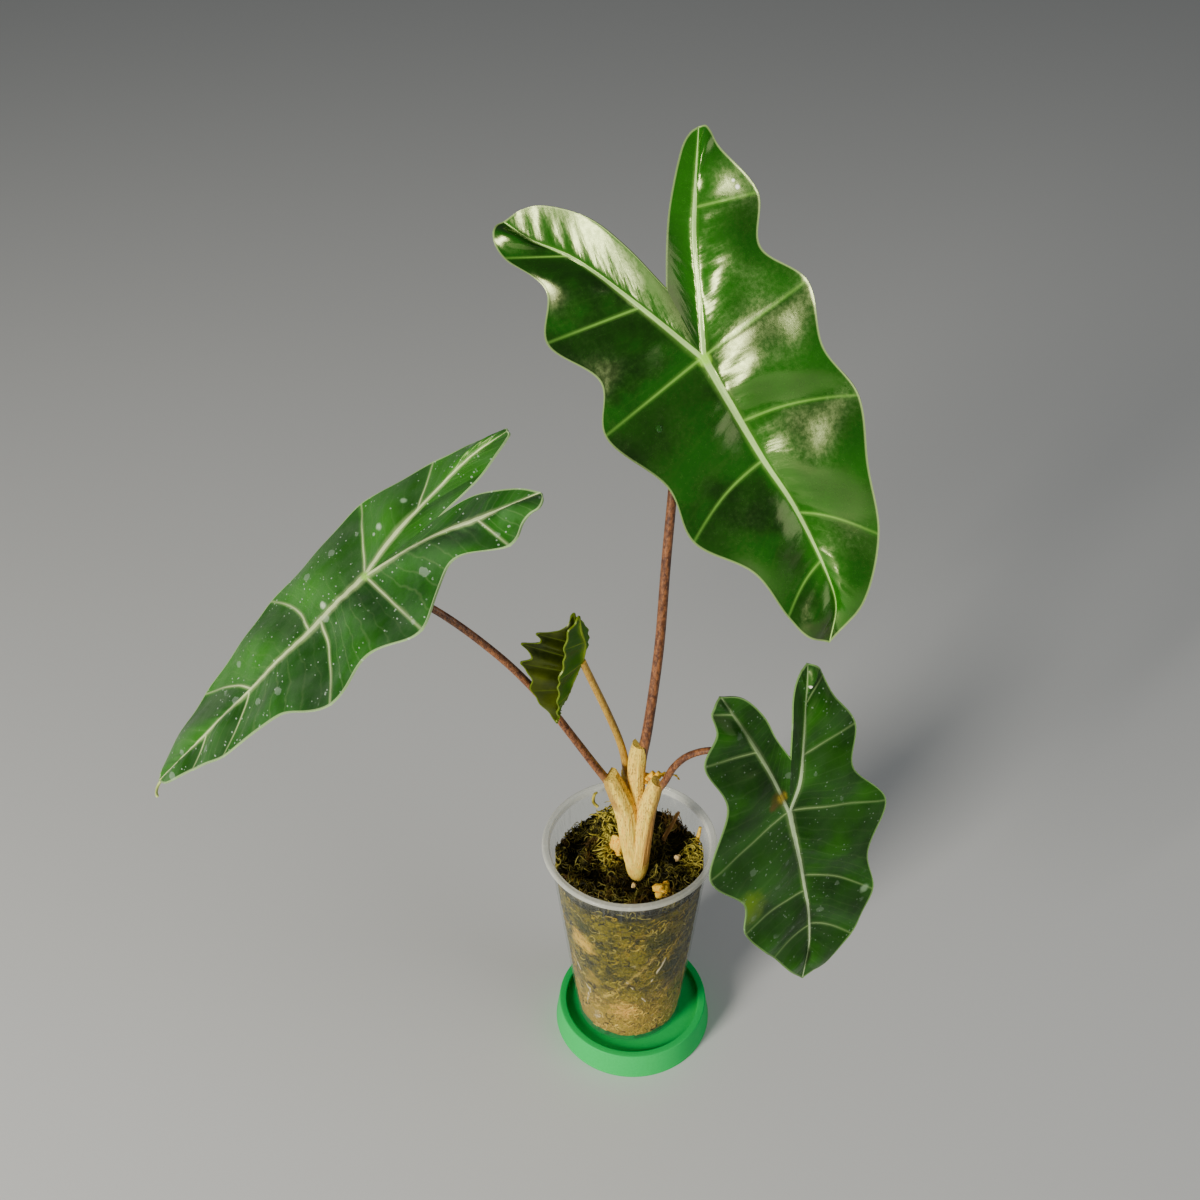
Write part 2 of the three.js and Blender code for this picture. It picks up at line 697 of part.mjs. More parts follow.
function mossTop(x, y) {
  const radius = Math.hypot(x, y);
  const angle = Math.atan2(y, x);
  const rings = Math.sin(3 * angle + radius / 9) + 0.8 * Math.cos(radius / 3.1 + 2 * angle);
  const waves = rings + 0.6 * Math.sin(7 * angle);
  const nearPlant = Math.exp(-((x - PLANT.x) ** 2 + (y - PLANT.y) ** 2) / 120);
  const { heap } = MOSS;
  const heaped = heap.height * Math.exp(-((x - heap.x) ** 2 + (y - heap.y) ** 2) / heap.spread);
  return MOSS.level + heaped + MOSS.bump * waves * (1 - nearPlant) * Math.min(1, radius / 12) - 0.5 * nearPlant;
}

// The body of moss fills the cup, clear of its wall, with a bumpy top
function mossBody() {
  const sides = ROUND_SIDES;
  const floor = STAND.seatHeight + CUP.wall + GAP;
  const sideAt = (z) => cupInnerRadius(z) - GAP - 0.1;
  const ring = (radiusAt, heightAt) =>
    Array.from({ length: sides }, (_, s) => {
      const angle = (2 * Math.PI * s) / sides;
      const [x, y] = [Math.cos(angle), Math.sin(angle)];
      const z = heightAt(x, y);
      const radius = radiusAt(z);
      return new THREE.Vector3(x * radius, y * radius, z);
    });
  const inset = CUP.baseRound + 1;
  const rings = [
    ring(() => CUP.baseRadius - CUP.wall - inset, () => floor),
    ring(sideAt, () => floor + inset),
    ring(sideAt, () => 70),
  ];
  const outer = sideAt(MOSS.level);
  rings.push(ring(sideAt, (x, y) => mossTop(x * outer, y * outer) - 1.5));
  for (const share of [0.95, 0.82, 0.68, 0.54, 0.4, 0.26, 0.1])
    rings.push(ring(() => outer * share, (x, y) => mossTop(x * outer * share, y * outer * share)));
  return solidOf(loft(rings));
}

// Places on the moss that stay free for the plant and for the bits that lie there
const KEPT_FREE = [
  [PLANT.x, PLANT.y, 11],
  [PLANT.x - 6, PLANT.y, 9],
  ...Object.values(CHIPS).map(({ centre, size }) => [centre[0], centre[1], Math.max(...size) + 3]),
  [TWIG[1][0], TWIG[1][1], 5],
  [TWIG[3][0], TWIG[3][1], 6],
];

// Short bent strands of moss, rooted in the body
function mossStrands() {
  const random = randomFrom(MOSS.seed);
  const strands = [];
  while (strands.length < MOSS.strands) {
    const angle = 2 * Math.PI * random();
    const distance = 33 * Math.sqrt(random());
    const [x, y] = [distance * Math.cos(angle), distance * Math.sin(angle)];
    const length = THREE.MathUtils.lerp(MOSS.shortest, MOSS.longest, random());
    const heading = 2 * Math.PI * random();
    const reach = length * THREE.MathUtils.lerp(0.15, 0.6, random());
    const [dx, dy] = [reach * Math.cos(heading), reach * Math.sin(heading)];
    if (Math.hypot(x + dx, y + dy) > 35) continue;
    const blocked = ([cx, cy, radius]) =>
      Math.hypot(x - cx, y - cy) < radius || Math.hypot(x + dx - cx, y + dy - cy) < radius;
    if (KEPT_FREE.some(blocked)) continue;
    const z = mossTop(x, y);
    strands.push(
      taperedTube(
        [
          [x - dx / 4, y - dy / 4, z - MOSS.strandDepth, MOSS.strandRadius],
          [x, y, z + length * 0.3, MOSS.strandRadius * 0.9],
          [x + dx, y + dy, z + length * 0.7, 0.35],
        ],
        3,
        4,
      ),
    );
  }
  return strands;
}

// A lumpy chip: a sphere of few faces with its points moved in and out by a formula
function chipGeometry({ centre, size, turn }, extra = 0) {
  const ball = new THREE.IcosahedronGeometry(1, 1);
  const position = ball.getAttribute("position");
  for (let i = 0; i < position.count; i++) {
    const p = new THREE.Vector3().fromBufferAttribute(position, i);
    const coarse = 0.13 * Math.sin(3.1 * p.x + 4.3 * p.z) * Math.cos(3.7 * p.y);
    const lump = 1 + coarse + 0.08 * Math.sin(7 * p.x * p.y + 2);
    p.multiplyScalar(lump).multiply(vector(size).addScalar(extra));
    position.setXYZ(i, p.x, p.y, p.z);
  }
  return ball.rotateZ(radians(turn)).translate(...centre);
}

function mossGeometry() {
  let moss = mossBody();
  for (const strand of mossStrands()) moss = moss.add(solidOf(strand));
  moss = moss.subtract(rootstock(GAP));
  moss = moss.subtract(solidOf(footTube(2 * GAP, 150)));
  for (const chip of Object.values(CHIPS)) moss = moss.subtract(solidOf(chipGeometry(chip, GAP)));
  moss = moss.subtract(solidOf(taperedTube(TWIG, 5, 6, GAP)));
  return geometryOf(largest(moss));
}

// Cup and stand

function cupProfile() {
  const { baseRadius, wall, height, rimRadius, rimHeight, rimThickness, baseRound } = CUP;
  const bottom = STAND.seatHeight;
  const top = bottom + height;
  const step = top - CUP.stepBelowRim;
  const bead = rimHeight / 2;
  const outerTop = CUP.wallTopRadius;
  const widened = outerTop + CUP.stepWidth;
  const beadMiddle = rimRadius - bead;
  return [
    [0, bottom],
    ...roundCorner(baseRadius - baseRound, bottom + baseRound, baseRound, -90, -10, 2),
    [outerTop, step],
    [widened, step + 1],
    [widened, top - rimHeight],
    ...roundCorner(beadMiddle, top - bead, bead, -90, 90, 4),
    [rimRadius - rimThickness - bead * 0.4, top - 0.3],
    [widened - wall, top - rimHeight * 0.6],
    [widened - wall, step + 1.2],
    [outerTop - wall, step],
    ...roundCorner(baseRadius - baseRound, bottom + baseRound, baseRound - wall, -10, -90, 2),
    [0, bottom + wall],
  ];
}

function standProfile() {
  const { height, footRadius, topRadius, lipRadius, seatHeight, edge } = STAND;
  return [
    [0, 0],
    ...roundCorner(footRadius - edge, edge, edge, -90, 0, 2),
    ...roundCorner(topRadius - edge, height - edge, edge, 0, 90, 2),
    ...roundCorner(lipRadius + edge, height - edge, edge, 90, 180, 2),
    [lipRadius, seatHeight],
    [0, seatHeight],
  ];
}

// Materials, as in daylight
function finish(color, roughness, more = {}) {
  return new THREE.MeshStandardMaterial({ color, roughness, metalness: 0, ...more });
}

const FINISHES = {
  stand: finish(0x0ccf5c, 0.45),
  cup: finish(0xe6ecec, 0.12, { transparent: true, opacity: 0.3 }),
  moss: finish(0x5d5a22, 0.95),
  root: finish(0xcbbd8a, 0.8),
  sheath: finish(0xd9c58a, 0.6),
  stalk: finish(0x7a4b37, 0.5),
  youngStalk: finish(0xb8974d, 0.5),
  blade: finish(0x1f5a1e, 0.28),
  youngBlade: finish(0x3c4d17, 0.35),
  bark: finish(0xd59a5c, 0.9),
  twig: finish(0x8a5a34, 0.9),
};

// Assembly
const plant = new THREE.Group();

function add(name, geometry, material) {
  const bare = new THREE.BufferGeometry();
  bare.setAttribute("position", geometry.getAttribute("position"));
  bare.setIndex(geometry.getIndex());
  const mesh = new THREE.Mesh(bare, material);
  mesh.name = name;
  plant.add(mesh);
  return mesh;
}

for (const leaf of Object.values(LEAVES)) leaf.scale = Math.min(1, leaf.midrib[0][0] / 100);

add("stand", geometryOf(solidOf(turned(standProfile(), 48))), FINISHES.stand).position.x = STAND.shift;
add("cup", geometryOf(solidOf(turned(cupProfile(), ROUND_SIDES))), FINISHES.cup);
add("moss", mossGeometry(), FINISHES.moss);
add("rootstock", geometryOf(rootstock(0)), FINISHES.root);
add("leaf_bases", leafBasesGeometry(), FINISHES.sheath);
for (const [name, stalk] of Object.entries(STALKS))
  add(name, stalkGeometry(stalk), name === "petiole_4" ? FINISHES.youngStalk : FINISHES.stalk);
for (const [name, leaf] of Object.entries(LEAVES))
  add(name, bladeGeometry(leaf), name === "leaf_4" ? FINISHES.youngBlade : FINISHES.blade);
for (const [name, chip] of Object.entries(CHIPS)) add(name, chipGeometry(chip), FINISHES.bark);
add("twig", taperedTube(TWIG, 5, 6), FINISHES.twig);

export default plant;
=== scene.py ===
# %% [markdown]
# # Dressing the potted alocasia
# The model that comes in holds plain solids in their right size and place. Each of them is replaced here
# by a finer piece of about the same form, with veins, a grain and its own material. All lengths below are
# in millimetres, and become metres when a mesh is made.

import math

import bmesh
import bpy
import numpy as np
from mathutils import Matrix, Vector


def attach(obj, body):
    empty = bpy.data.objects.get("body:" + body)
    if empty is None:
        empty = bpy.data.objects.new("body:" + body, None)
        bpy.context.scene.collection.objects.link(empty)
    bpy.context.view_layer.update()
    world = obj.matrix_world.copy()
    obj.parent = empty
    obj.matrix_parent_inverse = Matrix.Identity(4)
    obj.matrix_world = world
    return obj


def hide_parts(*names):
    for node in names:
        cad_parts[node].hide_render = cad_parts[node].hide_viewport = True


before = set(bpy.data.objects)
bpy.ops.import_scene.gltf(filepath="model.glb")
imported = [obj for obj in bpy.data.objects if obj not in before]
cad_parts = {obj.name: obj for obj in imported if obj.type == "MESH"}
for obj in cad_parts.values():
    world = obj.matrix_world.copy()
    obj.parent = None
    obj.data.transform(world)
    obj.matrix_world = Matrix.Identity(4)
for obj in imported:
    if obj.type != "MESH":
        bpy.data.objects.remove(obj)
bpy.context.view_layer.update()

# %% [markdown]
# ## Dimensions
# These repeat the solids' own dimensions, so that every finer piece lies where its solid does. One leaf
# base and the two bark chips are a little thicker here than their solids.

# %% Dimensions of the pot
STAND = {"height": 15.4, "foot": 43, "top": 41, "lip": 36.8, "seat": 12, "shift": 2, "edge": 0.8}
CUP = {
    "bottom": 12, "top": 141.3, "base": 28.7, "wall_top": 41.2, "rim": 45, "rim_height": 3,
    "rim_thickness": 2.6, "step_below": 5, "step_width": 0.7, "wall": 0.9, "round": 2.2,
}
MOSS = {"level": 126.5, "bump": 1.3, "heap": (-13, 17), "heap_height": 5.5, "heap_spread": 120}
PLANT = (3.6, -8.6)

# %% Dimensions of the blades
BLADE = {"thickness": 0.8, "edge": 0.65, "hub": 2.8, "rib_tip": 0.3, "vein": 1.1, "ridge": 0.5}
LEAVES = {
    "leaf_1": {
        "seat": (28.2, -0.3, 419.2), "tip": (0.412, -0.38, -0.828), "face": (-0.097, -0.922, 0.375),
        "fold": 10.5, "crease": 6, "bends": (800, 500), "quilt": 3.2, "notch": (-30, -2),
        "midrib": [(133, -1), (118, 8), (105, 10), (71, 9), (46, 5), (0, 0)],
        "right": {
            "edge": [(133, -1), (121, 19), (95, 36), (66, 43), (38, 50), (15, 45), (-11, 49), (-30, 38),
                     (-49, 45), (-66, 40), (-81, 34)],
            "veins": [74, 30, 0, -54],
            "rib": [(0, 0), (-25, 9), (-45, 16), (-67, 27), (-81, 34)],
            "inner": [(-44, 4), (-56, 10), (-72, 21), (-81, 34)],
            "end": [(-71.5, 38.2), (-77.5, 37.8), (-80.2, 36.8)], "inner_end": [(-78.2, 26.5), (-80.6, 30.6)],
        },
        "left": {
            "edge": [(133, -1), (126, -8), (114, -12), (90, -17), (67, -34), (42, -34), (12, -48), (-8, -41),
                     (-31, -54), (-50, -46), (-68, -56), (-77, -57), (-81, -51)],
            "veins": [97, 48, 0, -28, -58],
            "rib": [(0, 0), (-29, -15), (-56, -31), (-70, -44), (-81, -51)],
            "inner": [(-52, -10), (-68, -19), (-80, -34), (-81, -51)],
            "end": [(-74, -57.3), (-79, -56.2), (-81, -54)], "inner_end": [(-82, -42)],
        },
    },
    "leaf_2": {
        "seat": (-111.5, -30.8, 335), "tip": (-0.692, -0.062, -0.72), "face": (-0.714, -0.09, 0.694),
        "fold": -2, "crease": 6, "bends": (4000, 1200), "quilt": 2.6, "notch": (-45, 5), "rib_width": 1.2,
        "level_tip": 0.3,
        "midrib": [(157, -7), (125, -4), (82, -2), (40, 0), (0, 0)],
        "right": {
            "edge": [(157, -7), (148, 2), (126, 11), (113, 19), (100, 24), (58, 36), (24, 57), (-1, 51),
                     (-31, 62), (-51, 43), (-80, 60), (-92, 52), (-99, 47)],
            "veins": [116, 82, 30, 0, -67],
            "rib": [(0, 0), (-24, 9), (-46, 19), (-70, 33), (-99, 47)],
            "inner": [(-62, 11), (-77, 22), (-91, 36), (-99, 47)],
            "end": [(-84.5, 59.6), (-88.6, 55.8), (-93, 54.9), (-97.2, 55.4), (-99.7, 52.4)],
        },
        "left": {
            "edge": [(157, -7), (150, -22), (126, -40), (97, -47), (74, -58), (50, -57), (6, -61), (-18, -47),
                     (-44, -36), (-70, -23), (-87, -9)],
            "veins": [81, 38, 0, -34],
            "rib": [(0, 0), (-19, -7), (-45, -11), (-66, -13), (-87, -9)],
            "inner": [(-60, 4), (-72, 2), (-81, -2), (-87, -9)],
            "end": [(-60, -27), (-76.6, -17.4), (-83.2, -13.4), (-86.8, -11.4)],
            "inner_end": [(-85, -4.8), (-87.4, -7.2)],
        },
    },
    "leaf_3": {
        "seat": (70.6, -54.1, 217.3), "tip": (0.117, -0.097, -0.988), "face": (0.451, -0.882, 0.14),
        "fold": 7, "crease": 6, "bends": (2000, 500), "quilt": 2.8, "notch": (-30, 2), "rib_width": 0.75,
        "midrib": [(111, 2), (81, 7), (44, 5), (19, 2), (0, 0)],
        "right": {
            "edge": [(111, 2), (105, 14), (92, 29), (80, 34), (67, 41), (42, 38), (14, 49), (-13, 33),
                     (-34, 37), (-54, 27), (-64, 24), (-69, 22), (-71, 18)],
            "veins": [75, 42, 0, -27, -52],
            "rib": [(0, 0), (-13, 6), (-42, 12), (-71, 18)],
            "inner": [(-48, 5), (-60, 8), (-68, 13), (-71, 18)],
        },
        "left": {
            "edge": [(111, 2), (100, -6), (84, -15), (75, -21), (58, -30), (39, -30), (14, -46), (-20, -33),
                     (-45, -40), (-57, -32), (-66, -31.5), (-70.5, -29.8), (-72.5, -26)],
            "veins": [76, 52, 0, -39, -62],
            "rib": [(0, 0), (-23, -7), (-55, -19), (-72.5, -26)],
            "inner": [(-42, -3), (-55, -7), (-68, -16), (-72.5, -26)],
        },
    },
    "leaf_4": {
        "seat": (-23, -21, 279), "tip": (-0.335, -0.11, -0.935), "face": (-0.873, -0.391, 0.292),
        "fold": 68, "crease": 0.6, "bends": (2000, 2000), "quilt": 1.6, "notch": (-7, 0), "folded": True,
        "frill": 0.5, "midrib": [(35.5, 0), (24, 0), (10, 0), (0, 0)],
        "right": {
            "edge": [(35.5, 0), (30, 1), (22, 2.5), (13, 3.8), (6, 5), (-3, 5.3), (-12, 6.9), (-22, 7.6),
                     (-29, 6.6)],
            "veins": [17, 0, -13],
            "rib": [(0, 0), (-10, 1.4), (-20, 4.4), (-29, 6.6)],
            "inner": [(-14, 1.2), (-21, 3), (-29, 6.6)],
        },
        "left": {
            "edge": [(35.5, 0), (29, -3.4), (22, -6.4), (14, -7.6), (9, -9.8), (4, -8.4), (-1, -10.8),
                     (-4.5, -8), (-8, -9), (-13, -5.6), (-22.5, -4.5)],
            "veins": [16, 7, 0, -8],
            "rib": [(0, 0), (-10, -1.8), (-22.5, -4.5)],
            "inner": [(-12, -0.6), (-17, -1.6), (-22.5, -4.5)],
        },
    },
}

# %% Dimensions of the stalks and leaf bases
STALKS = {
    "petiole_1": {"leaf": "leaf_1", "radii": (2.9, 1.6), "route": [
        (4.3, -6.1, 195), (5.5, -6.3, 207), (7.1, -6.5, 217), (9, -6.5, 233), (12.8, -5.4, 273),
        (15.2, -4.6, 322), (17.2, -3, 355), (19, 0.5, 384), (22, 6, 405), (25, 7.6, 412.5)]},
    "petiole_2": {"leaf": "leaf_2", "radii": (2.3, 1.5), "route": [
        (-8.8, -10.5, 189.5), (-11.9, -11.1, 196.3), (-18, -12.3, 208.3), (-25.4, -13.8, 223.4),
        (-41.7, -17, 255.3), (-58.5, -20.3, 281.5), (-85.7, -25.7, 313.5), (-104, -29, 326.8)]},
    "petiole_3": {"leaf": "leaf_3", "radii": (1.9, 1.4), "route": [
        (13.2, -14.2, 191.5), (16.4, -16.6, 199.9), (20.3, -19.3, 211.8), (27, -23.8, 223.6),
        (37.2, -30, 232.5), (50, -36.5, 235), (60, -41, 230), (65.5, -45.5, 222)]},
    "petiole_4": {"leaf": "leaf_4", "radii": (2, 1.7), "route": [
        (-0.4, -1.4, 183), (-1.7, -1.9, 192.5), (-3.2, -3, 205), (-5.7, -5.4, 218),
        (-11.7, -11.4, 241.9), (-18, -16.6, 264)]},
}
SHEATHS = [
    {"points": [(3.2, -8.8, 124, 4), (3.2, -9.6, 150, 5.8), (2.9, -8.6, 166, 5.2), (2.7, -6.8, 177, 5),
                (2.6, -6, 187, 4.5), (2.9, -6, 197, 4.4), (3.6, -6.1, 206, 4.5), (4.8, -6.3, 215, 3.9)],
     "lip": (4.2, -6.2, 215), "away": (1, 0.6, 0), "slant": 72},
    {"points": [(3.2, -8.8, 124, 3.8), (2.3, -9.4, 141, 5.9), (0.4, -10, 152.7, 5.6), (-1.4, -10.3, 167, 5.3),
                (-2.8, -10.3, 176, 5.6), (-5.1, -10.4, 184, 5.4), (-7.8, -10.6, 192, 4.8),
                (-10.4, -10.9, 199.5, 4.2)],
     "lip": (-11, -10.7, 200), "away": (-1, 0.6, -0.3), "slant": 68},
    {"points": [(3.8, -9, 124, 3.8), (4.4, -10, 143.5, 5.8), (5.6, -11, 154.4, 5.2), (7.3, -11.7, 168, 4.6),
                (8.3, -12.2, 177, 4.6), (10.1, -13, 185.5, 4.3), (11.6, -13.8, 192.5, 3.9),
                (13.2, -14.6, 198, 3.4)],
     "lip": (13.9, -14.6, 198.2), "away": (1, 0.5, -0.3), "slant": 68},
    {"points": [(3.4, -7.6, 140, 4), (2.2, -4.6, 165, 3.8), (-0.2, -1.9, 181, 3.3), (-1.7, -2, 192, 2.9),
                (-2.2, -2.4, 196.5, 2.8)],
     "lip": (-1.2, -1.4, 195), "away": (-1, -1, 0), "slant": 55},
]
FOOT = [(3.6, -8.6, 122, 3.6), (3.6, -8.6, 126, 4.6), (3.6, -8.6, 131, 5.7), (3.6, -8.6, 137, 6.3)]
HUSK = [(5.4, -6, 186, 1.8), (8.8, -5.9, 192.8, 2.6), (12.6, -6.4, 193.8, 2.4), (16, -7.2, 195, 1.7),
        (19, -7.6, 195.4, 0.8), (22, -6.8, 194, 0.6), (24, -5.6, 190, 0.5)]

# %% Dimensions of the roots and the loose bits
CORM = [(98, 2.5), (101, 5.6), (107, 7.6), (114, 7.4), (119, 5.4), (121.7, 3.4)]
# each root: its angle, the heights where it meets the wall and where it ends, and its turn
ROOTS = [(-100, 78, 34, 38), (-55, 88, 46, -30), (-10, 70, 24, 30), (40, 84, 40, 35), (95, 74, 30, -35),
         (145, 90, 44, 28), (200, 80, 28, 42), (232, 66, 20, -20)]
CHIPS = {
    "bark_chip_1": {"centre": (16.2, -22.8, 130), "size": (5.8, 4.4, 4.8), "turn": 25},
    "bark_chip_2": {"centre": (-5.8, 2, 135.4), "size": (4.8, 4, 7.8), "turn": -20},
}
TWIG = [(16.6, 12, 119, 1.2), (18.2, 12.6, 128.5, 1.2), (21.6, 12.4, 138, 1), (25.5, 12, 149, 0.8)]
print("blades:", len(LEAVES), "stalks:", len(STALKS), "leaf bases:", len(SHEATHS), "roots:", len(ROOTS))

# %% [markdown]
# ## Tools for shapes
# A smooth line goes through its points, and a tube follows such a line with its own radius at each point.

# %% Smooth lines and tubes
random = np.random.default_rng(5)


def smooth_line(points, places):
    """The points at places from 0 to 1 on a smooth line through the given points."""
    p = np.array(points, float)
    p = np.vstack([2 * p[0] - p[1], p, 2 * p[-1] - p[-2]])
    place = np.clip(np.asarray(places, float), 0, 1) * (len(points) - 1)
    k = np.minimum(place.astype(int), len(points) - 2)
    w = (place - k)[:, None]
    a, b, c, d = p[k], p[k + 1], p[k + 2], p[k + 3]
    step = [((q - r) ** 2).sum(1, keepdims=True) ** 0.25 for q, r in ((b, a), (c, b), (d, c))]
    t1 = ((b - a) / step[0] - (c - a) / (step[0] + step[1]) + (c - b) / step[1]) * step[1]
    t2 = ((c - b) / step[1] - (d - b) / (step[1] + step[2]) + (d - c) / step[2]) * step[1]
    return b + t1 * w + (-3 * b + 3 * c - 2 * t1 - t2) * w**2 + (2 * b - 2 * c + t1 + t2) * w**3


def even_line(points, steps):
    """Evenly spaced points along a smooth line, and the place of each on it."""
    fine = np.linspace(0, 1, 600)
    line = smooth_line(points, fine)
    length = np.concatenate([[0], np.cumsum(np.linalg.norm(np.diff(line, axis=0), axis=1))])
    places = np.interp(np.linspace(0, length[-1], steps + 1), length, fine)
    return smooth_line(points, places), places


def unit(v):
    v = np.asarray(v, float)
    return v / np.linalg.norm(v, axis=-1, keepdims=True)


def rings_along(line, radii, sides):
    """Rings round a line. Each ring's first direction follows on from the one before."""
    along = unit(np.gradient(line, axis=0))
    out = unit(np.cross(along[0], [0.3, 0.9, 0.1]))
    rings = []
    turn = np.linspace(0, 2 * np.pi, sides, endpoint=False)[:, None]
    for here, radius, ahead in zip(line, radii, along):
        out = unit(out - ahead * (out @ ahead))
        side = np.cross(ahead, out)
        rings.append(here + radius * (out * np.cos(turn) + side * np.sin(turn)))
    return np.array(rings)


def show(name, verts, faces):
    """A mesh piece from points in millimetres."""
    mesh = bpy.data.meshes.new(name)
    mesh.from_pydata((np.asarray(verts) * 0.001).tolist(), [], np.asarray(faces).tolist())
    piece = bpy.data.objects.new(name, mesh)
    bpy.context.scene.collection.objects.link(piece)
    return piece


def tube_faces(rings, sides):
    """Side faces of a tube with that many rings, by vertex number."""
    r = np.arange(rings - 1)[:, None] * sides
    s = np.arange(sides)[None, :]
    n = (s + 1) % sides
    return np.stack([r + s, r + n, r + n + sides, r + s + sides], -1).reshape(-1, 4)


def fibres(name, lines, radii, sides=4):
    """Many thin fibres in one piece: lines is fibres x points x 3, and radii is fibres x points."""
    verts, faces = [], []
    one = tube_faces(lines.shape[1], sides)
    for i, (line, radius) in enumerate(zip(lines, radii)):
        verts.append(rings_along(line, radius, sides).reshape(-1, 3))
        faces.append(one + i * lines.shape[1] * sides)
    piece = show(name, np.vstack(verts), np.vstack(faces))
    own = piece.data.attributes.new("own", "FLOAT", "POINT")
    own.data.foreach_set("value", np.repeat(random.uniform(0, 1, len(lines)), lines.shape[1] * sides))
    return piece


def only(piece):
    """Makes a piece the only selected one."""
    if bpy.context.object and bpy.context.object.mode != "OBJECT":
        bpy.ops.object.mode_set(mode="OBJECT")
    bpy.ops.object.select_all(action="DESELECT")
    piece.select_set(True)
    bpy.context.view_layer.objects.active = piece
    return piece


def edit(piece):
    """Opens a piece for editing with all of it selected."""
    only(piece)
    bpy.ops.object.mode_set(mode="EDIT")
    bpy.ops.mesh.select_all(action="SELECT")


def close_and_smooth(piece, angle=40):
    """Merges points that coincide, turns the faces outwards and smooths them."""
    edit(piece)
    bpy.ops.mesh.remove_doubles(threshold=2e-6)
    bpy.ops.mesh.normals_make_consistent(inside=False)
    bpy.ops.object.mode_set(mode="OBJECT")
    bpy.ops.object.shade_smooth_by_angle(angle=math.radians(angle))
    return piece


def tube(name, points, steps, sides, shape=None):
    """A closed tube through points of x, y, z and radius. shape may move its rings' points."""
    line, places = even_line([p[:3] for p in points], steps)
    stations = np.linspace(0, 1, len(points))
    radii = np.interp(places, stations, [p[3] for p in points])
    rings = rings_along(line, radii, sides)
    if shape:
        rings = shape(rings, line)
    piece = show(name, rings.reshape(-1, 3), tube_faces(steps + 1, sides))
    share = piece.data.attributes.new("along", "FLOAT", "POINT")
    share.data.foreach_set("value", np.repeat(np.linspace(0, 1, steps + 1), sides))
    edit(piece)
    bpy.ops.mesh.select_all(action="DESELECT")
    bpy.ops.mesh.select_mode(type="EDGE")
    bpy.ops.mesh.select_non_manifold()
    bpy.ops.mesh.edge_face_add()
    bpy.ops.mesh.fill_holes(sides=0)
    bpy.ops.object.mode_set(mode="OBJECT")
    return piece


def joined(name, parts):
    """Joins pieces into one."""
    only(parts[0])
    for part in parts:
        part.select_set(True)
    bpy.ops.object.join()
    piece = bpy.context.object
    piece.name = name
    return piece


def arc(x, z, radius, start, end, steps):
    """Points of a round stretch of a profile."""
    angle = np.radians(np.linspace(start, end, steps + 1))
    return [(x + radius * math.cos(a), z + radius * math.sin(a)) for a in angle]


def spun(name, profile, steps=144, shift=0):
    """A round piece: the profile of radius and height is spun round the upright axis."""
    verts = [(r, 0, z) for r, z in profile]
    mesh = bpy.data.meshes.new(name)
    mesh.from_pydata((np.array(verts) * 0.001).tolist(), [(i, i + 1) for i in range(len(verts) - 1)], [])
    piece = bpy.data.objects.new(name, mesh)
    bpy.context.scene.collection.objects.link(piece)
    edit(piece)
    bpy.ops.mesh.spin(steps=steps, angle=2 * math.pi, center=(0, 0, 0), axis=(0, 0, 1))
    bpy.ops.mesh.select_all(action="SELECT")
    bpy.ops.transform.translate(value=(shift * 0.001, 0, 0))
    bpy.ops.object.mode_set(mode="OBJECT")
    return close_and_smooth(piece, 30)


# %% [markdown]
# ## Tools for materials
# A material is a tree of nodes. The small maker below adds nodes and links, so that a mask reads like a sum.

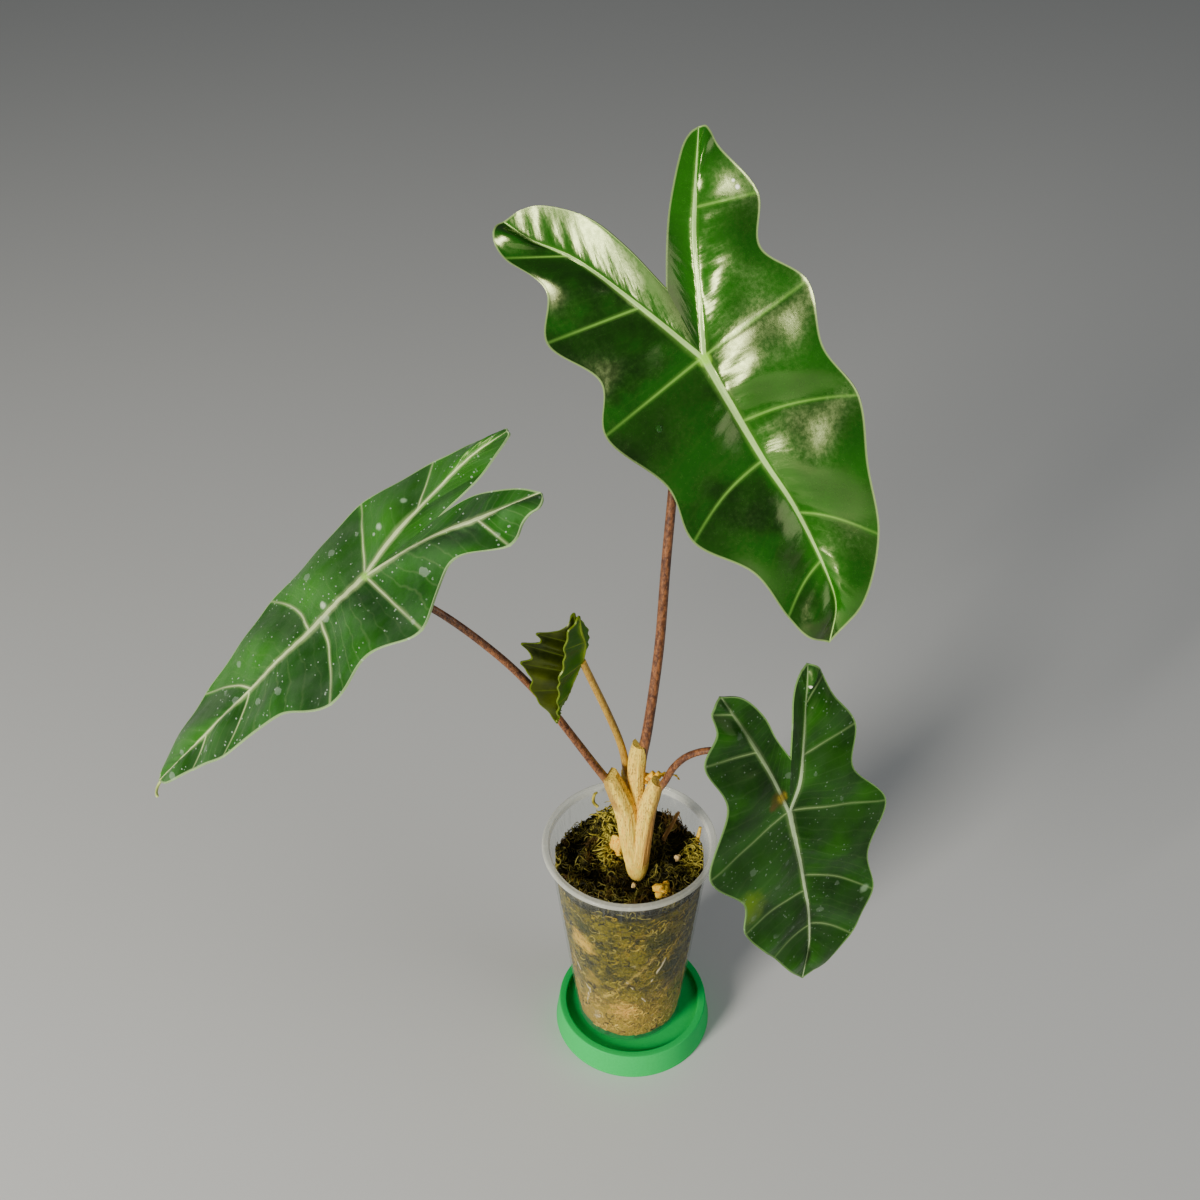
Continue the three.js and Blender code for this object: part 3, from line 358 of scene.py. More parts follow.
# %% Material maker
class Paint:
    """One material under construction."""

    def __init__(self, name):
        self.material = bpy.data.materials.new(name)
        self.material.use_nodes = True
        self.nodes = self.material.node_tree.nodes
        self.links = self.material.node_tree.links
        self.shader = self.nodes["Principled BSDF"]

    def put(self, socket, value):
        if isinstance(value, bpy.types.NodeSocket):
            self.links.new(value, socket)
        elif isinstance(value, (tuple, list)) and socket.type == "RGBA":
            socket.default_value = (*value[:3], 1)
        else:
            socket.default_value = value

    def set(self, **values):
        """Sets the shader's own inputs."""
        for name, value in values.items():
            self.put(self.shader.inputs[name.replace("_", " ")], value)
        return self

    def node(self, kind, output=0, options=None, **inputs):
        made = self.nodes.new(kind)
        for key, value in (options or {}).items():
            setattr(made, key, value)
        for key, value in inputs.items():
            self.put(made.inputs[int(key[1:]) if key[1:].isdigit() else key.replace("_", " ")], value)
        return made.outputs[output]

    def math(self, operation, a, b=0.0, c=0.0, clamp=False):
        return self.node("ShaderNodeMath", 0, {"operation": operation, "use_clamp": clamp}, i0=a, i1=b, i2=c)

    def step(self, value, low, high, start=0.0, end=1.0):
        """Smoothly from start to end while value goes from low to high."""
        return self.node("ShaderNodeMapRange", 0, {"interpolation_type": "SMOOTHSTEP"}, i0=value, i1=low,
                         i2=high, i3=start, i4=end)

    def mix(self, share, a, b):
        made = self.nodes.new("ShaderNodeMix")
        made.data_type = "RGBA"
        self.put(made.inputs[0], share)
        self.put(made.inputs[6], a)
        self.put(made.inputs[7], b)
        return made.outputs[2]

    def attribute(self, name, output="Fac"):
        made = self.nodes.new("ShaderNodeAttribute")
        made.attribute_name = name
        return made.outputs[output]

    def place(self):
        """Object coordinates in millimetres."""
        at = self.node("ShaderNodeTexCoord", "Object")
        return self.node("ShaderNodeVectorMath", 0, {"operation": "SCALE"}, i0=at, i3=1000.0)

    def stretched(self, vector, scale):
        return self.node("ShaderNodeVectorMath", 0, {"operation": "MULTIPLY"}, i0=vector, i1=scale)

    def apart(self, vector):
        """The three parts of a vector."""
        made = self.nodes.new("ShaderNodeSeparateXYZ")
        self.put(made.inputs[0], vector)
        return made.outputs

    def noise(self, vector, scale, detail=3.0, roughness=0.55):
        return self.node("ShaderNodeTexNoise", 0, None, Vector=vector, Scale=scale, Detail=detail,
                         Roughness=roughness)

    def cells(self, vector, scale):
        return self.node("ShaderNodeTexVoronoi", 0, None, Vector=vector, Scale=scale)

    def bump(self, height, depth, strength=1.0):
        """depth in millimetres"""
        normal = self.node("ShaderNodeBump", 0, None, Height=height, Distance=depth * 0.001,
                           Strength=strength)
        return self.set(Normal=normal)


def ready(piece, material, slot, *nodes):
    """Gives a finished piece its material and its place in the frame."""
    if material:
        piece.data.materials.clear()
        piece.data.materials.append(material)
    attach(piece, "root")
    if nodes:
        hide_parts(*nodes)
    print(f"{piece.name}: {len(piece.data.polygons)} faces")
    return piece


# %% [markdown]
# ## Stand and cup
# Both are round, so each is a profile spun round the upright axis. The cup is thin, clear plastic: it lets
# the light through, shows more of itself where it is seen at a slant, and is milky in its rolled rim.

# %% Stand
green = Paint("green plastic")
grain = green.noise(green.place(), 0.9)
green.set(Base_Color=green.mix(green.step(grain, 0.3, 0.7, 0.0, 0.35), (0.0, 0.47, 0.085), (0.0, 0.58, 0.12)))
green.set(Roughness=green.step(grain, 0.3, 0.7, 0.42, 0.52), Specular_IOR_Level=0.12)
green.bump(green.noise(green.place(), 2.5), 0.02)

edge = STAND["edge"]
profile = [(0, 0), *arc(STAND["foot"] - edge, edge, edge, -90, 0, 6)]
profile += arc(STAND["top"] - edge, STAND["height"] - edge, edge, 0, 90, 6)
profile += arc(STAND["lip"] + edge, STAND["height"] - edge, edge, 90, 180, 6)
profile += [(STAND["lip"], STAND["seat"] + 0.3), (STAND["lip"] - 0.3, STAND["seat"]), (0, STAND["seat"])]
stand = spun("stand_ring", profile, shift=STAND["shift"])
ready(stand, green.material, "stand_plastic", "stand")

# %% Cup
clear = Paint("clear plastic")
at = clear.place()
height = clear.apart(at)[2]
streaks = clear.noise(clear.stretched(at, (0.5, 0.5, 0.03)), 1.0, 4.0)
haze = clear.math("MULTIPLY", clear.step(streaks, 0.5, 0.75), clear.step(height, 120.0, 128.0, 0.01, 0.12))
slant = clear.math("POWER", clear.node("ShaderNodeLayerWeight", "Facing", None, Blend=0.5), 3.0)
rolled = clear.step(height, 137.0, 138.6)
body = clear.math("ADD", clear.math("MULTIPLY_ADD", slant, 0.26, 0.006), haze)
share = clear.math("MULTIPLY_ADD", rolled, 0.36, body, clamp=True)
tone = clear.mix(clear.step(height, 126.0, 137.0), (0.25, 0.27, 0.26), (0.8, 0.8, 0.7))
clear.set(Base_Color=tone, Roughness=0.1, IOR=1.5)
through = clear.node("ShaderNodeBsdfTransparent", 0, None, Color=(0.97, 0.98, 0.97))
cover = clear.node("ShaderNodeMixShader", 0, None, i0=share, i1=through, i2=clear.shader.outputs[0])
clear.links.new(cover, clear.nodes["Material Output"].inputs["Surface"])

c = CUP
bead = c["rim_height"] / 2
step = c["top"] - c["step_below"]
wide = c["wall_top"] + c["step_width"]
profile = [(0, c["bottom"]), *arc(c["base"] - c["round"], c["bottom"] + c["round"], c["round"], -90, -8, 8)]
profile += [(c["wall_top"] - 0.1, step - 0.8), (c["wall_top"] + 0.1, step), (wide, step + 0.9)]
profile += [(wide, c["top"] - c["rim_height"]), *arc(c["rim"] - bead, c["top"] - bead, bead, -90, 90, 14)]
profile += [(c["rim"] - c["rim_thickness"] - bead * 0.4, c["top"] - 0.3)]
profile += [(wide - c["wall"], c["top"] - c["rim_height"] * 0.6), (wide - c["wall"], step + 1.1)]
profile += [(c["wall_top"] - c["wall"] + 0.1, step), (c["wall_top"] - c["wall"] - 0.1, step - 0.8)]
profile += arc(c["base"] - c["round"], c["bottom"] + c["round"], c["round"] - c["wall"], -8, -90, 6)
profile += [(0, c["bottom"] + c["wall"])]
cup = spun("clear_cup", profile)
ready(cup, clear.material, "clear_plastic", "cup")


# %% [markdown]
# ## Moss
# The moss has a body that fills the cup, and loose fibres: a tangle on top, fibres pressed against the clear
# wall, and a pale heap behind the plant.

# %% Moss body
def wall_inside(z):
    """The radius of the cup's inner wall at a height."""
    share = (z - CUP["bottom"]) / (CUP["top"] - CUP["step_below"] - CUP["bottom"])
    return CUP["base"] + share * (CUP["wall_top"] - CUP["base"]) - CUP["wall"]


def waves(u, v, seed):
    """A smooth irregular swell between about -1 and 1."""
    draw = np.random.default_rng(seed)
    total = 0
    for _ in range(7):
        a, b = draw.uniform(-1, 1, 2)
        total = total + np.sin(u * a + v * b + draw.uniform(0, 6.28))
    return total / 3


def moss_top(x, y):
    radius, angle = np.hypot(x, y), np.arctan2(y, x)
    uneven = np.sin(3 * angle + radius / 9) + 0.8 * np.cos(radius / 3.1 + 2 * angle)
    uneven = uneven + 0.6 * np.sin(7 * angle)
    near = np.exp(-((x - PLANT[0]) ** 2 + (y - PLANT[1]) ** 2) / 120)
    heap = MOSS["heap_height"] * np.exp(-((x - MOSS["heap"][0]) ** 2 + (y - MOSS["heap"][1]) ** 2)
                                        / MOSS["heap_spread"])
    return MOSS["level"] + heap + MOSS["bump"] * uneven * (1 - near) * np.minimum(1, radius / 12) - 0.5 * near


# The two whitish marks low at the front are painted highlights, and the nearly black mark between them is
# painted shadow in a hollow.
WALL_PATCHES_AND_PAINTED_LIGHT = [
    ((-28, -27, 92), 11, (0.85, 0.52, 0.06), 0.85), ((-24, -30, 64), 9, (0.6, 0.36, 0.04), 0.6),
    ((-4, -36, 40), 12, (0.95, 0.5, 0.08), 0.8), ((-21, -27, 29), 6, (1.0, 0.85, 0.6), 0.85),
    ((14, -31, 33), 4, (1.0, 0.9, 0.7), 0.85), ((9, -33, 27), 4, (0.01, 0.006, 0.0), 0.9),
    ((-27, -29, 108), 8, (0.02, 0.03, 0.0), 0.8), ((16, -36, 103), 12, (0.025, 0.032, 0.0), 0.7),
    ((24, -29, 74), 13, (0.03, 0.035, 0.0), 0.7), ((2, -38, 84), 4, (0.9, 0.75, 0.35), 0.7),
]  # middle, radius, colour, strength
# a pale streak across the wall moss: its two ends, how far from its middle line it is still full and then
# gone, its strength, and how ragged it is
STREAK = {"from": (-15, -36, 48), "to": (13, -37, 90), "full": 3.0, "gone": 6.5, "strength": 0.6,
          "rough": 8.0}
STREAK_COLOUR = (0.75, 0.52, 0.1)


def wall_patches_and_painted_light(paint, at, skin):
    """Pale, brown and dark patches on the moss that lies against the clear wall, among them painted
    highlights and painted shade, and a pale streak.
    """
    rough = paint.noise(at, 0.3, 4.0, 0.6)
    for middle, radius, colour, strength in WALL_PATCHES_AND_PAINTED_LIGHT:
        offset = paint.node("ShaderNodeVectorMath", 1, {"operation": "DISTANCE"}, i0=at, i1=middle)
        ragged = paint.math("MULTIPLY_ADD", rough, radius * 1.6, offset)
        skin = paint.mix(paint.step(ragged, radius * 1.1, radius * 1.9, strength, 0.0), skin, colour)
    start, end = np.array(STREAK["from"], float), np.array(STREAK["to"], float)
    way = unit(end - start)
    beside = unit(np.cross(way, (0, 1, 0)))
    shifted = paint.node("ShaderNodeVectorMath", 0, {"operation": "SUBTRACT"}, i0=at, i1=tuple(start))
    along = paint.node("ShaderNodeVectorMath", 1, {"operation": "DOT_PRODUCT"}, i0=shifted, i1=tuple(way))
    off = paint.node("ShaderNodeVectorMath", 1, {"operation": "DOT_PRODUCT"}, i0=shifted, i1=tuple(beside))
    off = paint.math("ADD", paint.math("ABSOLUTE", off), paint.math("MULTIPLY", rough, STREAK["rough"]))
    long = float(np.linalg.norm(end - start))
    inside = paint.math("MULTIPLY", paint.step(along, -2.0, 4.0), paint.step(along, long + 2.0, long - 4.0))
    front = paint.step(paint.apart(at)[1], -20.0, -26.0)
    inside = paint.math("MULTIPLY", inside, front)
    across = paint.step(off, STREAK["full"], STREAK["gone"], STREAK["strength"], 0.0)
    return paint.mix(paint.math("MULTIPLY", inside, across), skin, STREAK_COLOUR)


moist = Paint("damp moss")
at = moist.place()
coarse = moist.noise(at, 0.16, 4.0)
fine = moist.noise(at, 0.9, 5.0, 0.7)
tangle = moist.cells(moist.stretched(at, (1.0, 1.0, 0.7)), 0.55)
dark = moist.mix(moist.step(coarse, 0.35, 0.65), (0.003, 0.003, 0.0008), (0.02, 0.017, 0.003))
lit = moist.mix(moist.step(fine, 0.5, 0.75), dark, (0.07, 0.06, 0.008))
x, y, z = moist.apart(at)
from_axis = moist.math("SQRT", moist.math("MULTIPLY_ADD", x, x, moist.math("MULTIPLY", y, y)))
sideways = moist.math("MULTIPLY", moist.step(z, 125.0, 121.0), moist.step(from_axis, 20.0, 25.0))
patches = moist.noise(moist.stretched(at, (1.0, 1.0, 1.4)), 0.11, 5.0, 0.65)
side = moist.mix(moist.step(patches, 0.4, 0.6), (0.035, 0.032, 0.0), (0.18, 0.14, 0.0))
side = moist.mix(moist.step(fine, 0.52, 0.72), side, (0.34, 0.25, 0.005))
side = moist.mix(moist.step(z, 70.0, 20.0, 0.0, 0.6), side, (0.62, 0.38, 0.05))
side = wall_patches_and_painted_light(moist, at, side)
moist.set(Base_Color=moist.mix(sideways, lit, side), Roughness=0.75, Specular_IOR_Level=0.08)
moist.bump(moist.math("ADD", fine, tangle), 1.1, 0.9)

sides, floor, inset = 160, CUP["bottom"] + CUP["wall"] + 0.3, CUP["round"] + 1
angle = np.linspace(0, 2 * np.pi, sides, endpoint=False)
ring = np.stack([np.cos(angle), np.sin(angle)], -1)
outer = wall_inside(MOSS["level"]) - 0.4
rings = [np.column_stack([ring * (CUP["base"] - CUP["wall"] - inset), np.full(sides, floor)])]
for z in np.linspace(floor + inset, 121, 60):
    lump = 0.35 * np.sin(9 * angle + z / 4) * np.sin(z / 2.3 + 3 * angle) - 0.35
    rings.append(np.column_stack([ring * (wall_inside(z) - 0.4 + lump)[:, None], np.full(sides, z)]))
for share in [0.985, 0.96, 0.92, *np.linspace(0.88, 0.04, 26)]:
    x, y = (ring * outer * share).T
    detail = 0.8 * np.sin(x * 1.1 + 2 * np.sin(y * 0.7)) * np.sin(y * 1.3 + x * 0.4)
    rings.append(np.column_stack([x, y, moss_top(x, y) + detail - (1.5 if share > 0.97 else 0.6)]))
rings = np.array(rings)
body = show("moss_body", rings.reshape(-1, 3), tube_faces(len(rings), sides))
edit(body)
bpy.ops.mesh.select_all(action="DESELECT")
bpy.ops.mesh.select_mode(type="EDGE")
bpy.ops.mesh.select_non_manifold()
bpy.ops.mesh.edge_face_add()
bpy.ops.object.mode_set(mode="OBJECT")
ready(close_and_smooth(body, 60), moist.material, "moss", "moss")

# %% Loose fibres
pale = Paint("pale moss")
at = pale.place()
mottle = pale.noise(at, 0.35, 4.0)
pale.set(Base_Color=pale.mix(pale.step(mottle, 0.35, 0.65), (0.2, 0.16, 0.01), (0.52, 0.43, 0.06)),
         Roughness=0.7, Specular_IOR_Level=0.2)

olive = Paint("olive moss")
at = olive.place()
mottle = olive.noise(at, 0.3, 4.0)
shade = olive.mix(olive.step(mottle, 0.4, 0.66), (0.008, 0.007, 0.0015), (0.12, 0.1, 0.01))
shade = olive.mix(olive.step(olive.attribute("own"), 0.7, 0.95, 0.0, 0.7), shade, (0.36, 0.3, 0.05))
warm = olive.step(olive.noise(at, 0.055, 2.0), 0.52, 0.68, 0.0, 0.6)
olive.set(Base_Color=olive.mix(warm, shade, (0.12, 0.055, 0.01)), Roughness=0.65, Specular_IOR_Level=0.2)

walled = Paint("moss at the wall")
at = walled.place()
z = walled.apart(at)[2]
mottle = walled.noise(at, 0.17, 4.0)
shade = walled.mix(walled.step(mottle, 0.42, 0.6), (0.014, 0.012, 0.0), (0.27, 0.2, 0.0))
warm = walled.step(walled.noise(at, 0.045, 2.0), 0.45, 0.6, 0.0, 0.8)
shade = walled.mix(warm, shade, (0.38, 0.25, 0.01))
shade = walled.mix(walled.step(z, 75.0, 20.0, 0.0, 0.7), shade, (0.8, 0.5, 0.1))
shade = walled.mix(walled.step(walled.attribute("own"), 0.8, 1.0, 0.0, 0.45), shade, (0.75, 0.6, 0.12))
# some fibres are dark, and stay darker where a patch lies over them
shade = walled.mix(walled.step(walled.attribute("own"), 0.4, 0.0, 0.0, 0.8), shade, (0.012, 0.009, 0.0))
shade = wall_patches_and_painted_light(walled, at, shade)
shade = walled.mix(walled.step(walled.attribute("own"), 0.4, 0.0, 0.0, 0.45), shade, (0.03, 0.024, 0.0))
walled.set(Base_Color=shade, Roughness=0.6, Specular_IOR_Level=0.1)


def in_disc(count, radius):
    """Random places in a round area."""
    turn, far = random.uniform(0, 2 * np.pi, count), radius * np.sqrt(random.uniform(0, 1, count))
    return far * np.cos(turn), far * np.sin(turn)


def clump(x, y):
    return waves(x * 0.42, y * 0.42, 21)


def lying_fibres(name, x, y, length, rise, thick, material, steps=6):
    """Curled fibres that lie on the moss and partly stand out of it."""
    count = len(x)
    s = np.linspace(0, 1, steps)[None, :]
    heading = random.uniform(0, 2 * np.pi, count)[:, None]
    curl = random.uniform(-2.6, 2.6, count)[:, None]
    size = random.uniform(0.5, 1, count)[:, None] * length
    fx = x[:, None] + size * s * np.cos(heading + curl * s)
    fy = y[:, None] + size * s * np.sin(heading + curl * s)
    far = np.hypot(fx, fy)
    held = np.minimum(1, (outer - 0.8) / np.maximum(far, 0.1))
    fx, fy = fx * held, fy * held
    up = random.uniform(-0.3, 1, count)[:, None] * rise * np.clip(0.6 + clump(x, y), 0.15, 1.8)[:, None]
    fz = moss_top(fx, fy) - 0.8 + up * np.sin(np.pi * s * random.uniform(0.6, 1, count)[:, None])
    radii = thick * random.uniform(0.6, 1, count)[:, None] * (1 - 0.6 * s)
    piece = fibres(name, np.stack([fx, fy, fz], -1), radii)
    return ready(close_and_smooth(piece, 60), material, "moss")


x, y = in_disc(5200, 38)
kept = (np.hypot(x - PLANT[0], y - PLANT[1]) > 6.5) & (clump(x, y) + random.normal(0, 0.4, len(x)) > 0)
lying_fibres("moss_tangle", x[kept], y[kept], 6, 4.6, 0.5, olive.material)

# the heap climbs behind the plant to the wall
count = 230
s = np.linspace(0, 1, 9)[None, :]
low = random.uniform(0, 1, count)[:, None]
climb = smooth_line([(-9.5, -4, 127.5), (-10, 9, 132), (-10.5, 19, 136), (-10.5, 27, 139)], low[:, 0])
length = random.uniform(3, 9, count)[:, None]
lean = random.normal(-1.57, 0.6, count)[:, None]
curl = random.uniform(-2.2, 2.2, count)[:, None]
fx = climb[:, :1] + random.normal(0, 2.1, count)[:, None] + length * s * np.cos(lean + curl * s)
fy = climb[:, 1:2] + random.normal(0, 1.5, count)[:, None] + length * s * np.sin(lean + curl * s)
fz = climb[:, 2:] + random.normal(-1.6, 1.2, count)[:, None] + (random.uniform(0, 4.5, count)[:, None]
                                                              * np.sin(np.pi * s) - length * s * 0.35)
held = np.minimum(1, (outer - 0.8) / np.hypot(fx, fy))
thick = random.uniform(0.28, 0.62, count)[:, None] * (1 - 0.5 * s)
heap = fibres("moss_heap", np.stack([fx * held, fy * held, fz], -1), thick)
ready(close_and_smooth(heap, 60), pale.material, "moss")

# strands at the right wall, and one curl that stands up at the back
count = 90
climb = smooth_line([(29, -14, 127), (32, -4, 129), (35, 6, 132)], random.uniform(0, 1, count))
lean = random.normal(1.3, 0.9, count)[:, None]
curl = random.uniform(-2.5, 2.5, count)[:, None]
fx = climb[:, :1] + random.normal(0, 1.8, count)[:, None] + 6 * s * np.cos(lean + curl * s)
fy = climb[:, 1:2] + random.normal(0, 1.5, count)[:, None] + 6 * s * np.sin(lean + curl * s)
fz = climb[:, 2:] + random.normal(-0.5, 1, count)[:, None] + 3 * s * random.uniform(-0.3, 1, count)[:, None]
held = np.minimum(1, (outer - 0.8) / np.hypot(fx, fy))
thick = random.uniform(0.2, 0.45, count)[:, None] * (1 - 0.5 * s)
strands = fibres("moss_at_right", np.stack([fx * held, fy * held, fz], -1), thick)
curl = tube("curl", [(-16, 29, 136, 0.9), (-18.4, 31, 138, 0.9), (-17.8, 33.5, 141, 0.8),
                     (-16.4, 33.6, 142.4, 0.6)],
            24, 10)
ready(close_and_smooth(joined("moss_at_right", [strands, curl]), 60), pale.material, "moss")

# %% Fibres behind the wall
count, steps = 3600, 7
s = np.linspace(0, 1, steps)[None, :]
z0 = random.uniform(17, 124, count)[:, None]
a0 = random.uniform(0, 2 * np.pi, count)[:, None]
lean = random.uniform(0, 2 * np.pi, count)[:, None]
curl = random.uniform(-3.2, 3.2, count)[:, None]
size = random.uniform(1.5, 6, count)[:, None]
z = np.clip(z0 + size * s * np.sin(lean + curl * s), 16.5, 125.5)
a = a0 + size * s * np.cos(lean + curl * s) / 36
thick = random.uniform(0.2, 0.7, count)[:, None] * (1 - 0.5 * s)
deep = random.uniform(0.02, 0.9, count)[:, None]
r = wall_inside(z) - 0.12 - thick - deep
wall_fibres = fibres("moss_at_wall", np.stack([r * np.cos(a), r * np.sin(a), z], -1), thick)
ready(close_and_smooth(wall_fibres, 60), walled.material, "moss")


# %% [markdown]
# ## Corm and roots
# The corm sits under the plant in the moss. The roots run out to the wall and down along it.

# %% Corm and roots
fleshy = Paint("root skin")
at = fleshy.place()
mottle = fleshy.noise(at, 0.6, 4.0)
fleshy.set(Base_Color=fleshy.mix(mottle, (0.5, 0.36, 0.16), (0.72, 0.62, 0.42)), Roughness=0.6)
fleshy.bump(mottle, 0.25)


def root_points(angle, meets, ends, turn):
    def at(degrees, distance, z, x=0.0, y=0.0, radius=1.1):
        a = math.radians(degrees)
        return (x + distance * math.cos(a), y + distance * math.sin(a), z, radius)

    points = [at(angle, 3, 113.5, *PLANT), at(angle, 9, 109, *PLANT), at(angle, 22, (112 + meets) / 2 + 3)]
    for share in (0, 0.5, 1):
        z = meets + share * (ends - meets)
        clearance = 0.3 + (1.6 if share == 0 else 0.35)
        points.append(at(angle + turn * share, wall_inside(z) - 1.1 - clearance, z,
                         radius=0.66 if share == 1 else 1.1))
    return points


parts = [tube("corm", [(*PLANT, z, radius) for z, radius in CORM], 24, 32)]
parts += [tube("root", root_points(*root), 60, 12) for root in ROOTS]
ready(close_and_smooth(joined("corm_and_roots", parts), 50), fleshy.material, "root", "rootstock")

# %% [markdown]
# ## Leaf bases
# Each leaf base is a tube round its stalk, cut open at a slant away from its lip. Fine ribs run up along
# them, and a dry husk of an older base stands beside them.

# %% Leaf bases
cream = Paint("leaf base skin")
at = cream.place()
x, y, z = cream.apart(at)
up = cream.stretched(at, (1.0, 1.0, 0.12))
streak = cream.noise(up, 1.1, 5.0, 0.65)
dots = cream.cells(cream.stretched(at, (1.0, 1.0, 0.4)), 0.9)
skin = cream.mix(cream.step(streak, 0.35, 0.62), (0.92, 0.52, 0.06), (1.0, 0.76, 0.13))
freckle = cream.math("MULTIPLY", cream.step(dots, 0.22, 0.38, 1.0, 0.0),
                     cream.step(z, 138.0, 182.0, 0.15, 0.85))
skin = cream.mix(freckle, skin, (0.36, 0.17, 0.04))
lines = cream.noise(cream.stretched(at, (1.0, 1.0, 0.05)), 1.7, 3.0)
skin = cream.mix(cream.step(lines, 0.54, 0.68, 0.0, 0.35), skin, (0.5, 0.22, 0.04))
mossy = cream.step(cream.noise(at, 0.12, 3.0), 0.45, 0.65, 0.0, 0.3)
skin = cream.mix(mossy, skin, (0.66, 0.5, 0.04))
spot = cream.noise(cream.stretched(at, (1.0, 1.0, 0.6)), 0.7, 3.0)
spot = cream.math("MULTIPLY", cream.step(spot, 0.56, 0.64), cream.step(z, 165.0, 190.0, 0.0, 0.6))
skin = cream.mix(spot, skin, (0.22, 0.09, 0.02))

# The left and the right edges take the brown of the stalks, the right one as a strip down to the moss.
left_edge = cream.step(z, 167.0, 199.5, -6.7, -14.6)
right_edge = cream.step(z, 143.5, 193.0, 9.4, 15.1)
ragged = cream.math("MULTIPLY", cream.math("SUBTRACT", streak, 0.5), 5.0)
past_left = cream.math("ADD", cream.math("SUBTRACT", left_edge, x), ragged)
past_right = cream.math("ADD", cream.math("SUBTRACT", x, right_edge), ragged)
leftwards = cream.math("MULTIPLY", cream.step(past_left, -5.0, -3.0), cream.step(z, 174.0, 182.0, 0.0, 0.8))
rightwards = cream.math("MULTIPLY", cream.step(past_right, -4.4, -2.2),
                        cream.step(z, 132.0, 140.0, 0.0, 0.75))
skin = cream.mix(leftwards, skin, (0.26, 0.1, 0.03))
skin = cream.mix(rightwards, skin, cream.mix(cream.step(z, 150.0, 188.0), (0.62, 0.25, 0.07),
                                             (0.3, 0.11, 0.03)))
husky = cream.math("MULTIPLY", cream.step(y, -9.6, -8.4), cream.math("MULTIPLY", cream.step(x, 6.5, 7.5),
                                                                   cream.step(z, 187.0, 189.0)))
skin = cream.mix(husky, skin, (1.0, 0.58, 0.03))
skin = cream.mix(cream.step(cream.attribute("along"), 0.6, 1.0, 0.0, 0.3), skin, (0.75, 0.56, 0.08))
cream.set(Base_Color=skin, Roughness=0.55, Specular_IOR_Level=0.3)
cream.bump(cream.math("ADD", streak, lines), 0.45)


def cut_open(piece, sheath):
    """Cuts a leaf base at a slant, which leaves its lip highest."""
    before, last = (np.array(p[:3], float) for p in sheath["points"][-2:])
    up = unit(last - before)
    away = np.array(sheath["away"], float)
    away = unit(away - up * (away @ up))
    slant = math.radians(sheath["slant"])
    normal = up * math.cos(slant) + away * math.sin(slant)
    edit(piece)
    lip = [v * 0.001 for v in sheath["lip"]]
    bpy.ops.mesh.bisect(plane_co=lip, plane_no=normal.tolist(), use_fill=True, clear_outer=True)
    bpy.ops.object.mode_set(mode="OBJECT")
    return piece


def ribbed(rings, line):
    """Fine ribs along a leaf base."""
    out = rings - line[:, None, :]
    sides = rings.shape[1]
    turn = np.linspace(0, 2 * np.pi, sides, endpoint=False)
    up = np.linspace(0, 1, rings.shape[0])[:, None]
    ribs = (0.018 * np.sin(9 * turn + 2 * up) + 0.014 * np.sin(17 * turn + 1 - 3 * up)
            + 0.01 * np.sin(25 * turn + 5 * up))
    return line[:, None, :] + out * (1 + ribs)[..., None]


parts = [cut_open(tube("sheath", s["points"], 90, 64, ribbed), s) for s in SHEATHS]
parts.append(tube("foot", FOOT, 12, 48))
husk = tube("husk", HUSK, 60, 20, lambda rings, line: line[:, None, :] + (rings - line[:, None, :])
            * (0.75 + 0.25 * np.sin(np.arange(rings.shape[0]) * 0.9)[:, None, None]))
bases = close_and_smooth(joined("leaf_base_skins", [*parts, husk]), 40)
ready(bases, cream.material, "leaf_base", "leaf_bases")


# %% [markdown]
# ## Leaf stalks
# A stalk is a tube that thins out towards its blade. Its lower end stands in the leaf base, and its top runs
# into the hub of the blade's ribs.

# %% Leaf stalks
def blade_axes(leaf):
    tip = unit(leaf["tip"])
    face = np.array(leaf["face"], float)
    face = unit(face - tip * (face @ tip))
    return tip, np.cross(face, tip), face


def leaf_scale(leaf):
    return min(1, leaf["midrib"][0][0] / 100)


def stalk_paint(name, main, dark, foot, speck):
    paint = Paint(name)
    at = paint.place()
    along = paint.attribute("along")
    mottle = paint.noise(paint.stretched(at, (1.0, 1.0, 0.55)), 0.55, 5.0, 0.7)
    fleck = paint.noise(paint.stretched(at, (1.0, 1.0, 0.6)), 1.7, 3.0)
    skin = paint.mix(paint.step(mottle, 0.38, 0.62), dark, main)
    skin = paint.mix(paint.step(fleck, 0.6, 0.7, 0.0, 0.5), skin, speck)
    speckle = paint.noise(paint.stretched(at, (1.0, 1.0, 0.45)), 1.3, 4.0, 0.7)
    skin = paint.mix(paint.step(speckle, 0.52, 0.62, 0.0, 0.65), skin, tuple(c * 0.6 for c in dark))
    skin = paint.mix(paint.step(along, 0.0, 0.12, 0.75, 0.0), skin, foot)
    paint.set(Base_Color=skin, Roughness=paint.step(mottle, 0.3, 0.7, 0.5, 0.38))
    paint.bump(mottle, 0.15)
    return paint.material


